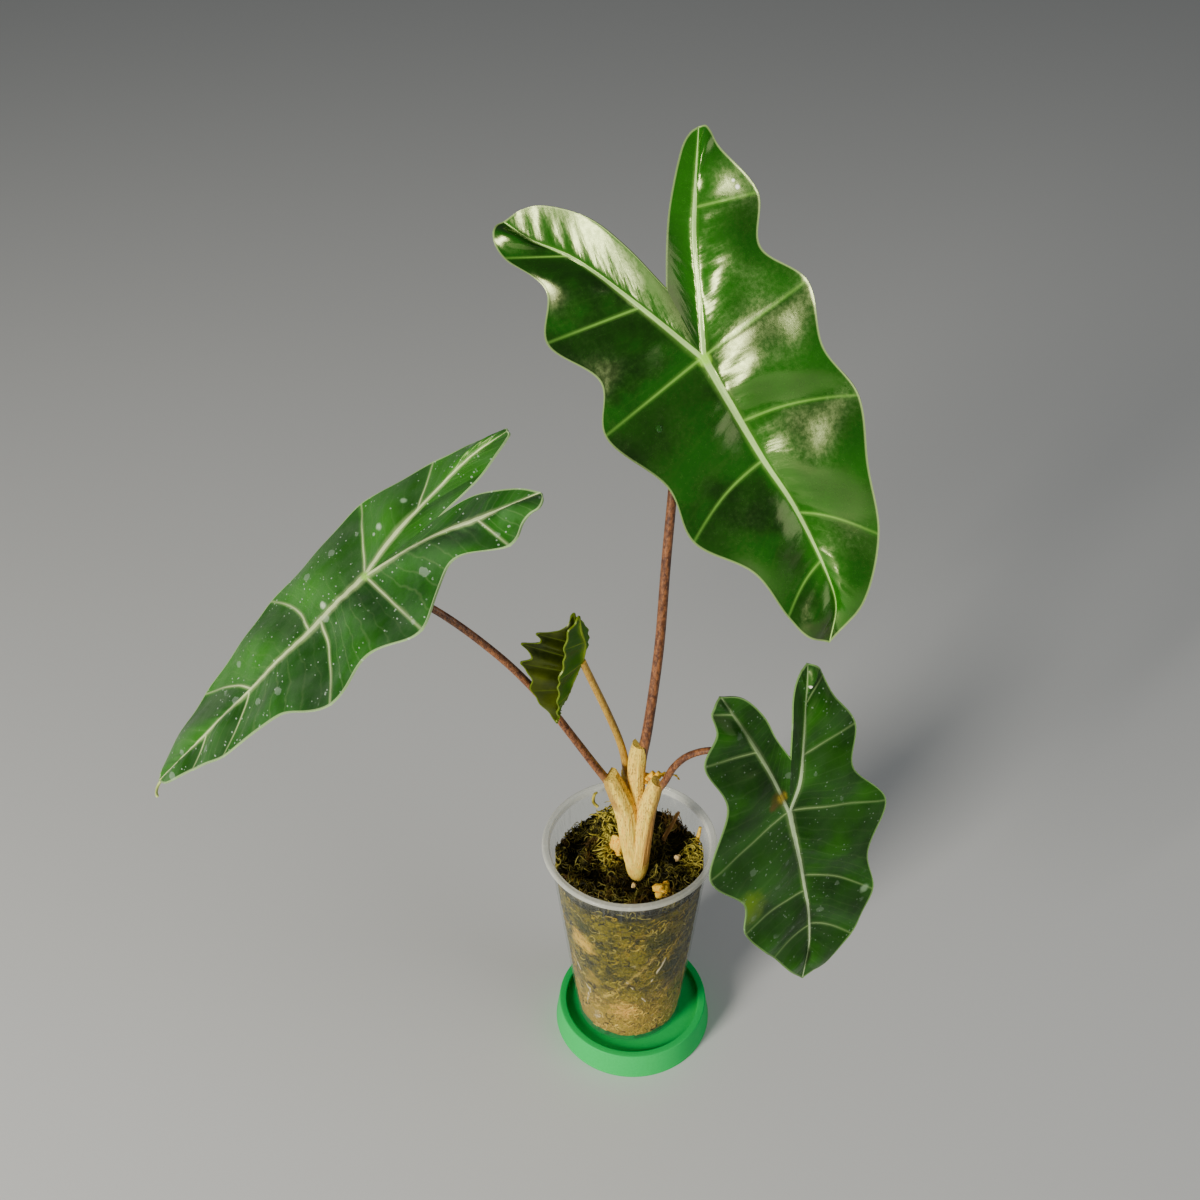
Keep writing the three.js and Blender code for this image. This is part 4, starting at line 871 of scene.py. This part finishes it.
brown_stalk = stalk_paint("brown stalk", (0.27, 0.1, 0.03), (0.07, 0.02, 0.006), (0.4, 0.2, 0.07),
                          (0.4, 0.2, 0.08))
ochre_stalk = stalk_paint("ochre stalk", (0.52, 0.32, 0.04), (0.38, 0.2, 0.025), (0.85, 0.6, 0.1),
                          (0.5, 0.36, 0.08))
for name, stalk in STALKS.items():
    leaf = LEAVES[stalk["leaf"]]
    face = blade_axes(leaf)[2]
    scale = leaf_scale(leaf)
    below = BLADE["thickness"] + (BLADE["hub"] - BLADE["ridge"]) * scale - 1.1 * scale
    route = [*stalk["route"], tuple(np.array(leaf["seat"]) - face * below)]
    share = np.linspace(0, 1, len(route)) ** 0.8
    radii = stalk["radii"][0] + (stalk["radii"][1] - stalk["radii"][0]) * share
    points = [(*p, radius) for p, radius in zip(route, radii)]
    piece = close_and_smooth(tube("stalk_of_" + stalk["leaf"], points, 220, 28), 50)
    young = name == "petiole_4"
    ready(piece, ochre_stalk if young else brown_stalk, "young_stalk" if young else "stalk", name)


# %% [markdown]
# ## Blades
# A blade is a sheet of fine faces. Each of its points is placed by its row, which runs from a rib to the
# edge, and by its share of that way. The sheet is then thickened, and the ribs are raised on both faces.
# Every point also keeps how far it is from the ribs, the side veins and the edge, which the material turns
# into pale lines.

# %% Blade sheets
def outline(points, end, places, kept):
    """Points on an edge. Finer ones may stand for those after the first kept, so that a lobe ends round."""
    if not end:
        return smooth_line(points, places)
    at = np.asarray(places) * (len(points) - 1)
    late = (at - kept) / (len(points) - 1 - kept) * (len(end) + 1)
    whole = kept + len(end) + 1
    return smooth_line([*points[:kept + 1], *end, points[-1]], np.where(at <= kept, at, kept + late) / whole)


def half_sheets(leaf, half, side, fine):
    """The outer and the inner sheet of one half: places, and what the material needs at each of them."""
    tip, lobe_tip = leaf["midrib"][0][0], half["edge"][-1][0]
    both = sorted({tip, 0, *(v for h in ("right", "left") for v in leaf[h]["veins"] if v > 0)}, reverse=True)
    own = sorted({0, lobe_tip, *(v for v in half["veins"] if v < 0)}, reverse=True)
    us = np.concatenate([
        np.linspace(a, b, max(3, round((a - b) / fine)), endpoint=False) for a, b in zip(both, both[1:])]
        + [np.linspace(a, b, max(3, round((a - b) / fine)), endpoint=False) for a, b in zip(own, own[1:])]
        + [[lobe_tip]])
    stations = np.array([tip, *half["veins"], lobe_tip], float)
    intervals = len(stations) - 1
    rows = np.interp(-us, -stations, np.arange(intervals + 1))
    seat_row = float(np.interp(0, -stations, np.arange(intervals + 1)))
    dense = np.linspace(0, 1, 4000)
    mid, lobe = smooth_line(leaf["midrib"], dense), smooth_line(half["rib"], dense)
    on_mid = np.interp(-us, -mid[:, 0], mid[:, 1])
    on_lobe = np.interp(-us, -lobe[:, 0], lobe[:, 1])
    rib = np.column_stack([us, np.where(us >= 0, on_mid, on_lobe)])
    rib[0], rib[-1] = half["edge"][0], half["edge"][-1]
    spans = len(half["edge"]) - 1
    outward = outline(half["edge"], half.get("end"), rows / intervals, spans - 2)
    lobe_rows = us <= 0
    inward = outline([leaf["notch"], *half["inner"]], half.get("inner_end"),
                     (rows[lobe_rows] - seat_row) / (intervals - seat_row), len(half["inner"]) - 1)
    shares = np.concatenate([[0, 0.008, 0.016, 0.026, 0.038, 0.055, 0.08], np.linspace(0.12, 0.95, 20),
                             [0.97, 0.983, 0.992, 1]])
    inner_shares = np.concatenate([[0, 0.03, 0.06, 0.1, 0.16], np.linspace(0.25, 0.92, 8), [0.96, 0.985, 1]])
    scale = leaf_scale(leaf)
    sheets = []
    for r, rib_points, out, ts, quilt in (
        (rows, rib, outward, shares, leaf["quilt"]),
        (rows[lobe_rows], rib[lobe_rows], inward, inner_shares, 0),
    ):
        t = ts[None, :]
        width = np.linalg.norm(out - rib_points, axis=1)[:, None]
        flat = rib_points[:, None, :] * (1 - t[..., None]) + out[:, None, :] * t[..., None]
        u = rib_points[:, 0][:, None]
        if quilt:
            flat[..., 0] -= (0.07 * np.clip(u / 40, 0, 1) * width * np.sin(np.pi * t)
                             * (0 if leaf.get("folded") else 1))
        away = np.abs(flat[..., 1]) if leaf.get("folded") else t * width
        bend = np.where(flat[..., 0] > 0, *leaf["bends"])
        slope = math.radians(leaf["fold"])
        lift = (-flat[..., 0] ** 2 / (2 * bend)
                + math.tan(slope) * (np.hypot(away, leaf["crease"]) - leaf["crease"]))
        phase = (r - np.floor(r))[:, None]
        outside = np.clip((t - 0.55) / 0.45, 0, 1)
        swell = np.minimum(quilt * 1.15, width / 4) * np.sin(np.pi * phase) ** 2
        swell = swell * np.sin(np.pi / 2 * np.minimum(1, 2.1 * t)) * (1 - 0.7 * outside**2)
        swell = swell * np.clip((1 - u / tip) / leaf.get("level_tip", 0.001), 0, 1)
        reach = t * width
        pucker = (waves(u * 1.1, reach * 0.16, 3) * np.exp(-((reach - 5) / 9) ** 2)
                  * np.minimum(1, reach / 3))
        broad = waves(flat[..., 0] * 0.3, flat[..., 1] * 0.3, 8) * np.minimum(1, reach / 8)
        frill = leaf.get("frill", 0) * np.sin(r[:, None] * 13) * t**3
        rough_form = scale * (0.2 * pucker + 0.42 * broad) * (1 if quilt else 0.7) * np.minimum(1, width / 12)
        lift = lift + swell * math.cos(slope) + rough_form + frill
        flat[..., 1] -= side * swell * math.sin(slope)
        nearest = np.clip(np.round(r), 1, intervals - 1)[:, None]
        spacing = np.linalg.norm(np.gradient(flat, r, axis=0), axis=-1)
        vein = np.abs(r[:, None] - nearest) * spacing / (scale * (0.75 - 0.35 * t))
        share = np.where(u >= 0, u / tip, u / lobe_tip)
        rib_wide = (1.4 * (1 - share) ** 0.8 + 0.48) * scale * leaf.get("rib_width", 0.85)
        sheets.append({
            "co": np.dstack([flat, lift]),
            "rib": t * width / rib_wide,
            "vein": np.minimum(vein, 20) if quilt else np.full(vein.shape, 30.0),
            "margin": (1 - t) * width / scale,
            "grain_u": np.repeat(u, len(ts), 1) + 0 * width,
            "grain_t": t * width,
            "row": np.repeat(r[:, None], len(ts), 1),
            "share": np.repeat(share, len(ts), 1),
            "across": np.repeat(t, len(r), 0),
        })
    return sheets


KEPT = ("rib", "vein", "margin", "grain_u", "grain_t", "row", "share", "across")


def blade(name, leaf, fine, materials):
    """A whole blade as one closed piece, with a material for its upper face and one for its underside."""
    tip, sideways, face = blade_axes(leaf)
    parts = []
    for key, side in (("right", 1), ("left", -1)):
        for sheet in half_sheets(leaf, leaf[key], side, fine):
            rows, columns = sheet["co"].shape[:2]
            bpy.ops.mesh.primitive_grid_add(x_subdivisions=columns - 1, y_subdivisions=rows - 1, size=0.1)
            part = bpy.context.object
            part.data.uv_layers.remove(part.data.uv_layers[0])
            co = sheet["co"].reshape(-1, 3)
            placed = np.array(leaf["seat"]) + co @ np.array([tip, sideways, face])
            part.data.vertices.foreach_set("co", (placed * 0.001).ravel())
            for kept in KEPT:
                values = part.data.attributes.new(kept, "FLOAT", "POINT")
                values.data.foreach_set("value", np.ascontiguousarray(sheet[kept], float).ravel())
            flat = part.data.attributes.new("flat", "FLOAT_VECTOR", "POINT")
            flat.data.foreach_set("vector", co.ravel())
            part.data.update()
            normal = sum((p.normal * p.area for p in part.data.polygons), Vector())
            if normal.dot(Vector(face)) < 0:
                edit(part)
                bpy.ops.mesh.flip_normals()
                bpy.ops.object.mode_set(mode="OBJECT")
            parts.append(part)
    piece = joined(name, parts)
    for material in materials:
        piece.data.materials.append(material)
    edit(piece)
    bpy.ops.mesh.remove_doubles(threshold=1.5e-5)
    bpy.ops.object.mode_set(mode="OBJECT")
    count = len(piece.data.vertices)
    thick = piece.modifiers.new("thickness", "SOLIDIFY")
    thick.thickness = BLADE["thickness"] * 0.9 * 0.001
    thick.offset = -1
    thick.material_offset = 1
    only(piece)
    bpy.ops.object.modifier_apply(modifier=thick.name)
    raise_ribs(piece, leaf, count, face)
    bpy.ops.object.shade_smooth_by_angle(angle=math.radians(55))
    return piece


def read(piece, name):
    values = np.zeros(len(piece.data.vertices))
    piece.data.attributes[name].data.foreach_get("value", values)
    return values


def raise_ribs(piece, leaf, count, face):
    """Raises the main ribs above and below, the side veins below, and a fine bead along the edge."""
    scale = leaf_scale(leaf)
    co = np.zeros(len(piece.data.vertices) * 3)
    piece.data.vertices.foreach_get("co", co)
    co = co.reshape(-1, 3)
    rib, vein, margin, share, across = (read(piece, k) for k in ("rib", "vein", "margin", "share", "across"))
    under = np.arange(len(co)) >= count
    crest = 1 / (1 + np.minimum(rib, 9) ** 4)
    fade = np.minimum(1, 2.5 * (1 - share))
    ridge = 0 if leaf.get("folded") else BLADE["ridge"] * scale
    side_vein = np.exp(-np.minimum(vein, 9) ** 2)
    above = ridge * crest * fade + 0.16 * scale * side_vein * (1 - across)
    above += 0.12 * scale * np.exp(-(margin / 0.6) ** 2)
    hub = BLADE["hub"] * scale * (1 - np.sqrt(share)) + BLADE["rib_tip"] * np.sqrt(share)
    below = (hub / (1 + np.minimum(rib / 1.2, 9) ** 3)
             + BLADE["vein"] * scale * side_vein * (1 - 0.75 * across) * 0.8)
    co += face * (np.where(under, -below, above) * 0.001)[:, None]
    piece.data.vertices.foreach_set("co", co.ravel())
    piece.data.update()


# %% [markdown]
# The blade's material: a green that varies slowly, painted light on one half and on the swells, painted shade
# beside the side veins, pale ribs and side veins, a pale edge, fine puckers beside the ribs, faint lines
# between the side veins, a pale film of dust and painted sheen, and dried water spots.

# %% Blade materials
def blade_paint(name, deep, bright, line, edge_colour, spots=0.0, dust_and_sheen=0.0, gloss=0.3, blotches=(), marks=(),
                under=False, rough_low=0.3, shade=0.45, painted_lit_half=None, painted_light_on_swells=False, halo_reach=2.6, run=None,
                lined=0.05, calm=0.36, rib_colour=None, vein_reach=1.0, fade_from=0.3, lobes_fade=0.0):
    paint = Paint(name)
    flat = paint.attribute("flat", "Vector")
    u, v, _ = paint.apart(flat)
    rib, vein, margin = (paint.attribute(k) for k in ("rib", "vein", "margin"))
    along, out, row = (paint.attribute(k) for k in ("grain_u", "grain_t", "row"))
    across = paint.attribute("across")
    broad = paint.noise(flat, 0.035, 3.0)
    skin = paint.mix(paint.step(broad, calm, 1.02 - calm), deep, bright)
    fine = paint.noise(flat, 0.5, 4.0, 0.65)
    skin = paint.mix(paint.step(fine, 0.35, 0.75, 0.0, 0.25), skin, bright)
    # faint lines that run beside the side veins
    wobble = paint.math("MULTIPLY_ADD", broad, 2.0, paint.math("MULTIPLY", row, 7.0))
    thin = paint.step(paint.math("PINGPONG", wobble, 0.5), 0.0, 0.12, lined, 0.0)
    skin = paint.mix(thin, skin, line)

    def spread(vector):
        """Draws a pattern out along one direction, in which dried spots of water have run."""
        if not run:
            return vector
        along_run = (run[0], run[1], 0.0)
        beside_run = (-run[1], run[0], 0.0)
        far = paint.node("ShaderNodeVectorMath", 1, {"operation": "DOT_PRODUCT"}, i0=vector, i1=along_run)
        wide = paint.node("ShaderNodeVectorMath", 1, {"operation": "DOT_PRODUCT"}, i0=vector, i1=beside_run)
        return paint.node("ShaderNodeCombineXYZ", 0, None, X=paint.math("MULTIPLY", far, 0.45), Y=wide, Z=0.0)

    level = paint.stretched(flat, (1.0, 1.0, 0.0))
    drawn = spread(level)

    def patch(skin, middle, radius, colour, strength):
        """A ragged patch of another colour."""
        x, y = middle
        if run:
            x, y = 0.45 * (x * run[0] + y * run[1]), y * run[0] - x * run[1]
        offset = paint.node("ShaderNodeVectorMath", 1, {"operation": "DISTANCE"}, i0=drawn, i1=(x, y, 0.0))
        ragged = paint.math("MULTIPLY_ADD", paint.noise(flat, 0.25, 3.0), radius * 0.9, offset)
        return paint.mix(paint.step(ragged, radius * 0.75, radius * 1.55, strength, 0.0), skin, colour)

    # painted light: the half of the blade that faces the lamp turns a lighter green, over a ragged band
    # between two distances from the midrib
    if painted_lit_half:
        strength, start, end, colour = painted_lit_half
        skin = paint.mix(paint.step(paint.math("MULTIPLY_ADD", broad, 30.0, v), start, end, 0.0, strength),
                         skin, colour)
    # painted shade: one side of each side vein is darkened, where the swelling blade lies in its own shadow
    phase = paint.math("FRACT", row)
    painted_vein_shade = paint.math("MULTIPLY", paint.step(phase, 0.45, 0.85), paint.step(phase, 1.0, 0.95))
    painted_vein_shade = paint.math("MULTIPLY", painted_vein_shade, paint.step(out, 1.0, 6.0))
    skin = paint.mix(paint.math("MULTIPLY", painted_vein_shade, shade), skin, tuple(c * 0.7 for c in deep))
    if painted_light_on_swells:
        # painted light: the green is made lighter where the blade swells up towards the lamp, right of the
        # midrib and inside the left lobe
        right = paint.math("MULTIPLY", paint.step(v, 0.0, 8.0), paint.step(out, 22.0, 4.0))
        inside = paint.math("MULTIPLY", paint.step(vein, 22.0, 28.0), paint.step(v, 0.0, -8.0))
        light = paint.math("MAXIMUM", right, inside)
        skin = paint.mix(paint.math("MULTIPLY", light, 0.6), skin, (0.01, 0.13, 0.001))
    for blotch in blotches:
        skin = patch(skin, *blotch)
    # a paler band beside the ribs and veins, and the pale lines themselves
    halo = paint.math("MAXIMUM", paint.step(rib, 0.9, halo_reach, 0.3, 0.0),
                      paint.step(vein, 0.5, halo_reach, 0.25, 0.0))
    skin = paint.mix(halo, skin, line)
    # on some leaves the ribs of the lobes fade towards their ends
    rib_line = paint.math("MULTIPLY", paint.step(rib, 0.65, 1.15, 1.0, 0.0),
                          paint.step(u, -5.0, -45.0, 1.0, 1.0 - lobes_fade))
    fading = paint.step(across, fade_from, 1.0, 0.85, 0.15)
    vein_line = paint.math("MULTIPLY", paint.step(vein, 0.35 * vein_reach, vein_reach, 1.0, 0.0), fading)
    lines = paint.math("MAXIMUM", rib_line, vein_line)
    skin = paint.mix(lines, skin, line)
    skin = paint.mix(rib_line, skin, rib_colour or line)
    for mark in marks:
        skin = patch(skin, *mark)
    rim = paint.step(margin, 0.35, 0.95, 0.9, 0.0)
    skin = paint.mix(rim, skin, edge_colour)
    rough = paint.step(fine, 0.3, 0.7, rough_low if not under else 0.45,
                       rough_low + 0.1 if not under else 0.55)
    # a pale film that stands partly for dust and partly for a painted sheen
    if dust_and_sheen:
        dust_and_sheen_film = paint.step(paint.noise(flat, 0.05, 4.0), 0.35, 0.7, 0.1 * dust_and_sheen, dust_and_sheen)
        skin = paint.mix(dust_and_sheen_film, skin, (0.55, 0.68, 0.48))
    if spots:
        some = paint.step(paint.noise(flat, 0.06, 1.0), 0.44, 0.56)
        ragged = paint.math("MULTIPLY", paint.noise(flat, 0.3, 2.0), 0.16)
        big = paint.step(paint.math("ADD", paint.cells(drawn, 0.085), ragged), 0.22, 0.25, 0.35, 0.0)
        small = paint.step(paint.math("ADD", paint.cells(drawn, 0.42), ragged), 0.2, 0.27, 0.8, 0.0)
        wet = paint.math("MULTIPLY", paint.math("MAXIMUM", big, small), some)
        skin = paint.mix(paint.math("MULTIPLY", wet, spots), skin, (0.62, 0.74, 0.6))
    pucker_at = paint.node("ShaderNodeCombineXYZ", 0, None, X=paint.math("MULTIPLY", along, 0.22),
                           Y=paint.math("MULTIPLY", out, 0.08), Z=0.0)
    pucker = paint.noise(pucker_at, 1.0, 2.0, 0.45)
    crinkle_at = paint.node("ShaderNodeCombineXYZ", 0, None, X=along, Y=paint.math("MULTIPLY", out, 0.14),
                            Z=3.0)
    pucker = paint.math("MULTIPLY_ADD", paint.noise(crinkle_at, 0.9, 2.0), 0.11, pucker)
    beside = paint.step(out, 3.0, 22.0, 1.0, 0.15)
    relief = paint.math("MULTIPLY_ADD", paint.math("MULTIPLY", pucker, beside), 1.2,
                        paint.math("MULTIPLY", fine, 0.1))
    relief = paint.math("MULTIPLY", relief, paint.math("SUBTRACT", 1.0, rib_line))
    paint.set(Base_Color=skin, Roughness=rough, Specular_IOR_Level=gloss, Specular_Tint=(0.9, 1.0, 0.45))
    paint.bump(relief, 0.28)
    return paint.material


PAINTS = {
    "leaf_1": [
        blade_paint("deep green blade", (0.0005, 0.018, 0.0004), (0.004, 0.07, 0.001), (0.16, 0.36, 0.05),
                    (0.25, 0.36, 0.12), gloss=1.0, rough_low=0.18, lined=0.015, rib_colour=(0.42, 0.66, 0.2),
                    painted_lit_half=(0.5, 8.0, 45.0, (0.006, 0.1, 0.0006)), painted_light_on_swells=True,
                    marks=[((1, 0), 3.5, (0.35, 0.75, 0.05), 0.9), ((-54, 38.5), 1.1, (0.9, 0.9, 0.85), 1.0),
                           ((-57, 38), 0.8, (0.9, 0.9, 0.85), 1.0)]),
        blade_paint("deep green underside", (0.01, 0.06, 0.01), (0.03, 0.11, 0.02), (0.25, 0.4, 0.12),
                    (0.25, 0.36, 0.14), under=True)],
    "leaf_2": [
        blade_paint("green blade with dust and sheen", (0.003, 0.05, 0.0005), (0.014, 0.13, 0.001), (0.6, 0.72, 0.33),
                    (0.3, 0.45, 0.18), spots=0.55, dust_and_sheen=0.06, halo_reach=3, run=(-0.52, 0.854), calm=0.25,
                    painted_lit_half=(0.5, 35.0, -10.0, (0.04, 0.23, 0.006)), shade=0.6,
                    marks=[((0, 0), 2.5, (0.3, 0.65, 0.06), 0.9), ((-11, -22), 1.9, (0.5, 0.66, 0.45), 0.7),
                           ((-6.5, -22), 0.9, (0.5, 0.66, 0.45), 0.6),
                           ((-27, -24), 1.4, (0.4, 0.6, 0.35), 0.6),
                           ((27.7, -7), 1.8, (0.6, 0.75, 0.5), 0.8)]),
        blade_paint("dusty green underside", (0.02, 0.08, 0.015), (0.04, 0.13, 0.03), (0.3, 0.45, 0.2),
                    (0.3, 0.45, 0.18), under=True)],
    "leaf_3": [
        blade_paint("spotted green blade", (0.0015, 0.03, 0.0004), (0.011, 0.085, 0.001), (0.2, 0.3, 0.105),
                    (0.14, 0.26, 0.07), spots=0.2, dust_and_sheen=0.02, gloss=0.2, rib_colour=(0.4, 0.52, 0.27),
                    vein_reach=0.75, fade_from=0.05, lobes_fade=0.75,
                    blotches=[((43, -28), 13, (0.1, 0.19, 0.0), 0.75)],
                    marks=[((-9.5, -5.5), 6, (0.08, 0.06, 0.001), 0.75),
                           ((-9.5, -3.2), 3.4, (0.3, 0.21, 0.008), 0.85),
                           ((-6.5, -8.5), 2.8, (0.09, 0.05, 0.003), 0.7),
                           ((-60.5, 17), 0.9, (1.0, 0.95, 0.8), 1.0), ((64, 36), 3, (0.3, 0.45, 0.25), 0.5)]),
        blade_paint("spotted green underside", (0.01, 0.05, 0.01), (0.025, 0.09, 0.02), (0.2, 0.32, 0.1),
                    (0.16, 0.3, 0.08), under=True)],
    "leaf_4": [
        blade_paint("young blade", (0.003, 0.007, 0.0002), (0.045, 0.06, 0.0005), (0.05, 0.075, 0.003),
                    (0.1, 0.15, 0.005)),
        blade_paint("young underside", (0.015, 0.07, 0.0), (0.06, 0.2, 0.0), (0.18, 0.27, 0.01),
                    (0.11, 0.17, 0.006), under=True)],
}
for name, leaf in LEAVES.items():
    young = name == "leaf_4"
    piece = blade("blade_" + name[-1], leaf, 0.4 if young else 1.0, PAINTS[name])
    ready(piece, None, "young_blade" if young else "blade", name)


# %% Thread at a leaf's tip
thread_paint = Paint("tip thread")
thread_paint.set(Base_Color=(0.5, 0.6, 0.16), Roughness=0.5)
leaf = LEAVES["leaf_2"]
axes = np.array(blade_axes(leaf))
thread_points = [(154, -6.6, -3.4, 0.6), (157.6, -4.8, -3.6, 0.65), (158.6, -1.6, -3.8, 0.65),
                 (157.6, 1.6, -4, 0.75), (157, 2.6, -4, 0.3)]
points = [(*(np.array(leaf["seat"]) + np.array(p[:3]) @ axes), p[3]) for p in thread_points]
ready(close_and_smooth(tube("tip_thread", points, 24, 10), 60), thread_paint.material, "blade")

# %% [markdown]
# ## Loose bits on the moss
# Two lumps of bark, a twig, a dry tip, and four crumbs, of which two are pale.

# %% Bark and twig
bark = Paint("bark")
at = bark.place()
grain = bark.noise(at, 0.7, 5.0, 0.65)
bark.set(Base_Color=bark.mix(bark.step(grain, 0.35, 0.6), (0.82, 0.33, 0.0), (1.0, 0.68, 0.07)),
         Roughness=0.8, Specular_IOR_Level=0.2)
bark.bump(grain, 0.7)
dry = Paint("pale crumb")
dry.set(Base_Color=dry.mix(dry.noise(dry.place(), 1.1, 3.0), (0.7, 0.4, 0.1), (0.95, 0.74, 0.36)),
        Roughness=0.8)


def chip(name, centre, size, turn, material, slot, *nodes):
    """A chip of several rough lumps that are grown together, each shaped from a ball."""
    parts = []
    a = math.radians(turn)
    spin = np.array([[math.cos(a), math.sin(a), 0], [-math.sin(a), math.cos(a), 0], [0, 0, 1]])
    towards = unit(random.normal(0, 1, (8, 3)))
    for i, way in enumerate([np.zeros(3), *towards]):
        bpy.ops.mesh.primitive_ico_sphere_add(subdivisions=4, radius=1)
        part = bpy.context.object
        co = np.zeros(len(part.data.vertices) * 3)
        part.data.vertices.foreach_get("co", co)
        co = co.reshape(-1, 3)
        x, y, z = co.T
        lump = (1 + 0.12 * np.sin(4 * z + 3 * x + i) * np.sin(5 * y)
                + 0.05 * np.sin(15 * x + 12 * y) * np.sin(13 * z))
        share = 0.62 if i == 0 else random.uniform(0.3, 0.45)
        co = (co * lump[:, None] * share + way * 0.58) * np.array(size)
        co = co @ spin + np.array(centre)
        part.data.vertices.foreach_set("co", (co * 0.001).ravel())
        part.data.update()
        parts.append(part)
    return ready(close_and_smooth(joined(name, parts), 60), material, slot, *nodes)


crumbs = [((24.5, -0.3, 128.6), 2.3, dry), ((1.9, -18.3, 127.8), 1.7, dry), ((-29, -16, 127.6), 2.4, bark),
          ((-36, 2, 128), 1.3, bark)]
for i, (centre, radius, paint) in enumerate(crumbs):
    chip(f"crumb_{i + 1}", centre, (radius, radius * 0.8, radius * 1.1), 40 * i, paint.material, "bark")
for name, it in CHIPS.items():
    chip("lump_" + name[-1], it["centre"], it["size"], it["turn"], bark.material, "bark", name)

twig_paint = Paint("twig bark")
grain = twig_paint.noise(twig_paint.stretched(twig_paint.place(), (1.0, 1.0, 0.3)), 1.2, 4.0)
twig_paint.set(Base_Color=twig_paint.mix(grain, (0.32, 0.13, 0.03), (0.7, 0.38, 0.12)), Roughness=0.8)
twig_paint.bump(grain, 0.3)
twig = close_and_smooth(tube("dry_twig", TWIG, 60, 16), 50)
ready(twig, twig_paint.material, "bark", "twig")

tip_points = [(34.6, 8, 127, 1), (36, 10.4, 133, 1.1), (37, 12, 138, 0.8)]
tip = close_and_smooth(tube("dry_tip", tip_points, 16, 10), 50)
ready(tip, bark.material, "bark")

# %% Water drop on the tall leaf
water = Paint("water")
water.set(Base_Color=(0.03, 0.14, 0.02), Roughness=0.04)
through = water.node("ShaderNodeBsdfTransparent", 0, None, Color=(0.9, 1.0, 0.9))
cover = water.node("ShaderNodeMixShader", 0, None, i0=0.35, i1=through, i2=water.shader.outputs[0])
water.links.new(cover, water.nodes["Material Output"].inputs["Surface"])
blade_mesh = bpy.data.objects["blade_1"].data
flat = np.zeros(len(blade_mesh.vertices) * 3)
blade_mesh.attributes["flat"].data.foreach_get("vector", flat)
nearest = int(np.argmin(np.hypot(*(flat.reshape(-1, 3)[:, :2] - (18.9, -27.4)).T)))
tip, sideways, face = blade_axes(LEAVES["leaf_1"])
bpy.ops.mesh.primitive_uv_sphere_add(segments=32, ring_count=16, radius=0.0015)
drop = bpy.context.object
drop.name = "water_drop"
lying = Matrix(np.column_stack([tip, sideways, face]).tolist()).to_4x4() @ Matrix.Diagonal((1.1, 0.9, 0.4, 1))
drop.data.transform(Matrix.Translation(blade_mesh.vertices[nearest].co) @ lying)
bpy.ops.object.shade_smooth()
ready(drop, water.material, "clear_plastic")

# %% [markdown]
# ## Stage
# A plain pale floor, soft studio light from the upper left and front, and the camera of the photo.

# %% Floor
bpy.ops.mesh.primitive_plane_add(size=12)
ground = bpy.context.object
ground.name = "floor"
floor_paint = Paint("pale floor")
floor_paint.set(Base_Color=(0.62, 0.62, 0.6), Roughness=0.9)
ground.data.materials.append(floor_paint.material)

# %% Light
world = bpy.data.worlds.new("studio")
bpy.context.scene.world = world
world.use_nodes = True
world.node_tree.nodes["Background"].inputs["Color"].default_value = (0.8, 0.85, 0.9, 1)
world.node_tree.nodes["Background"].inputs["Strength"].default_value = 0.15


def soft_light(name, at, towards, size, watts, colour):
    bpy.ops.object.light_add(type="AREA", location=at)
    light = bpy.context.object
    light.name = name
    light.data.shape = "RECTANGLE"
    light.data.size, light.data.size_y = size
    light.data.energy = watts
    light.data.color = colour
    light.rotation_euler = (Vector(towards) - Vector(at)).to_track_quat("-Z", "Y").to_euler()
    return light


soft_light("key", (-1.2, -1.28, 0.7), (0, 0, 0.25), (0.5, 0.7), 56, (1, 0.97, 0.9))
soft_light("fill", (1.3, -0.7, 0.9), (0, 0, 0.25), (1.2, 1.2), 9, (0.95, 0.97, 1))

# %% Camera
pitch, roll = math.radians(37.78), math.radians(-0.61)
forward = Vector((0, math.cos(pitch), -math.sin(pitch)))
right = Vector((1, 0, 0))
up = right.cross(forward)
across = math.cos(roll) * right + math.sin(roll) * up
upright = -math.sin(roll) * right + math.cos(roll) * up
bpy.ops.object.camera_add()
camera = bpy.context.object
camera.data.lens = 45
camera.data.sensor_width = 36
camera.data.clip_start = 0.01
camera.matrix_world = Matrix.Translation((-0.01383, -0.53097, 0.70873)) @ Matrix(
    (across, upright, -forward)).transposed().to_4x4()
bpy.context.scene.camera = camera
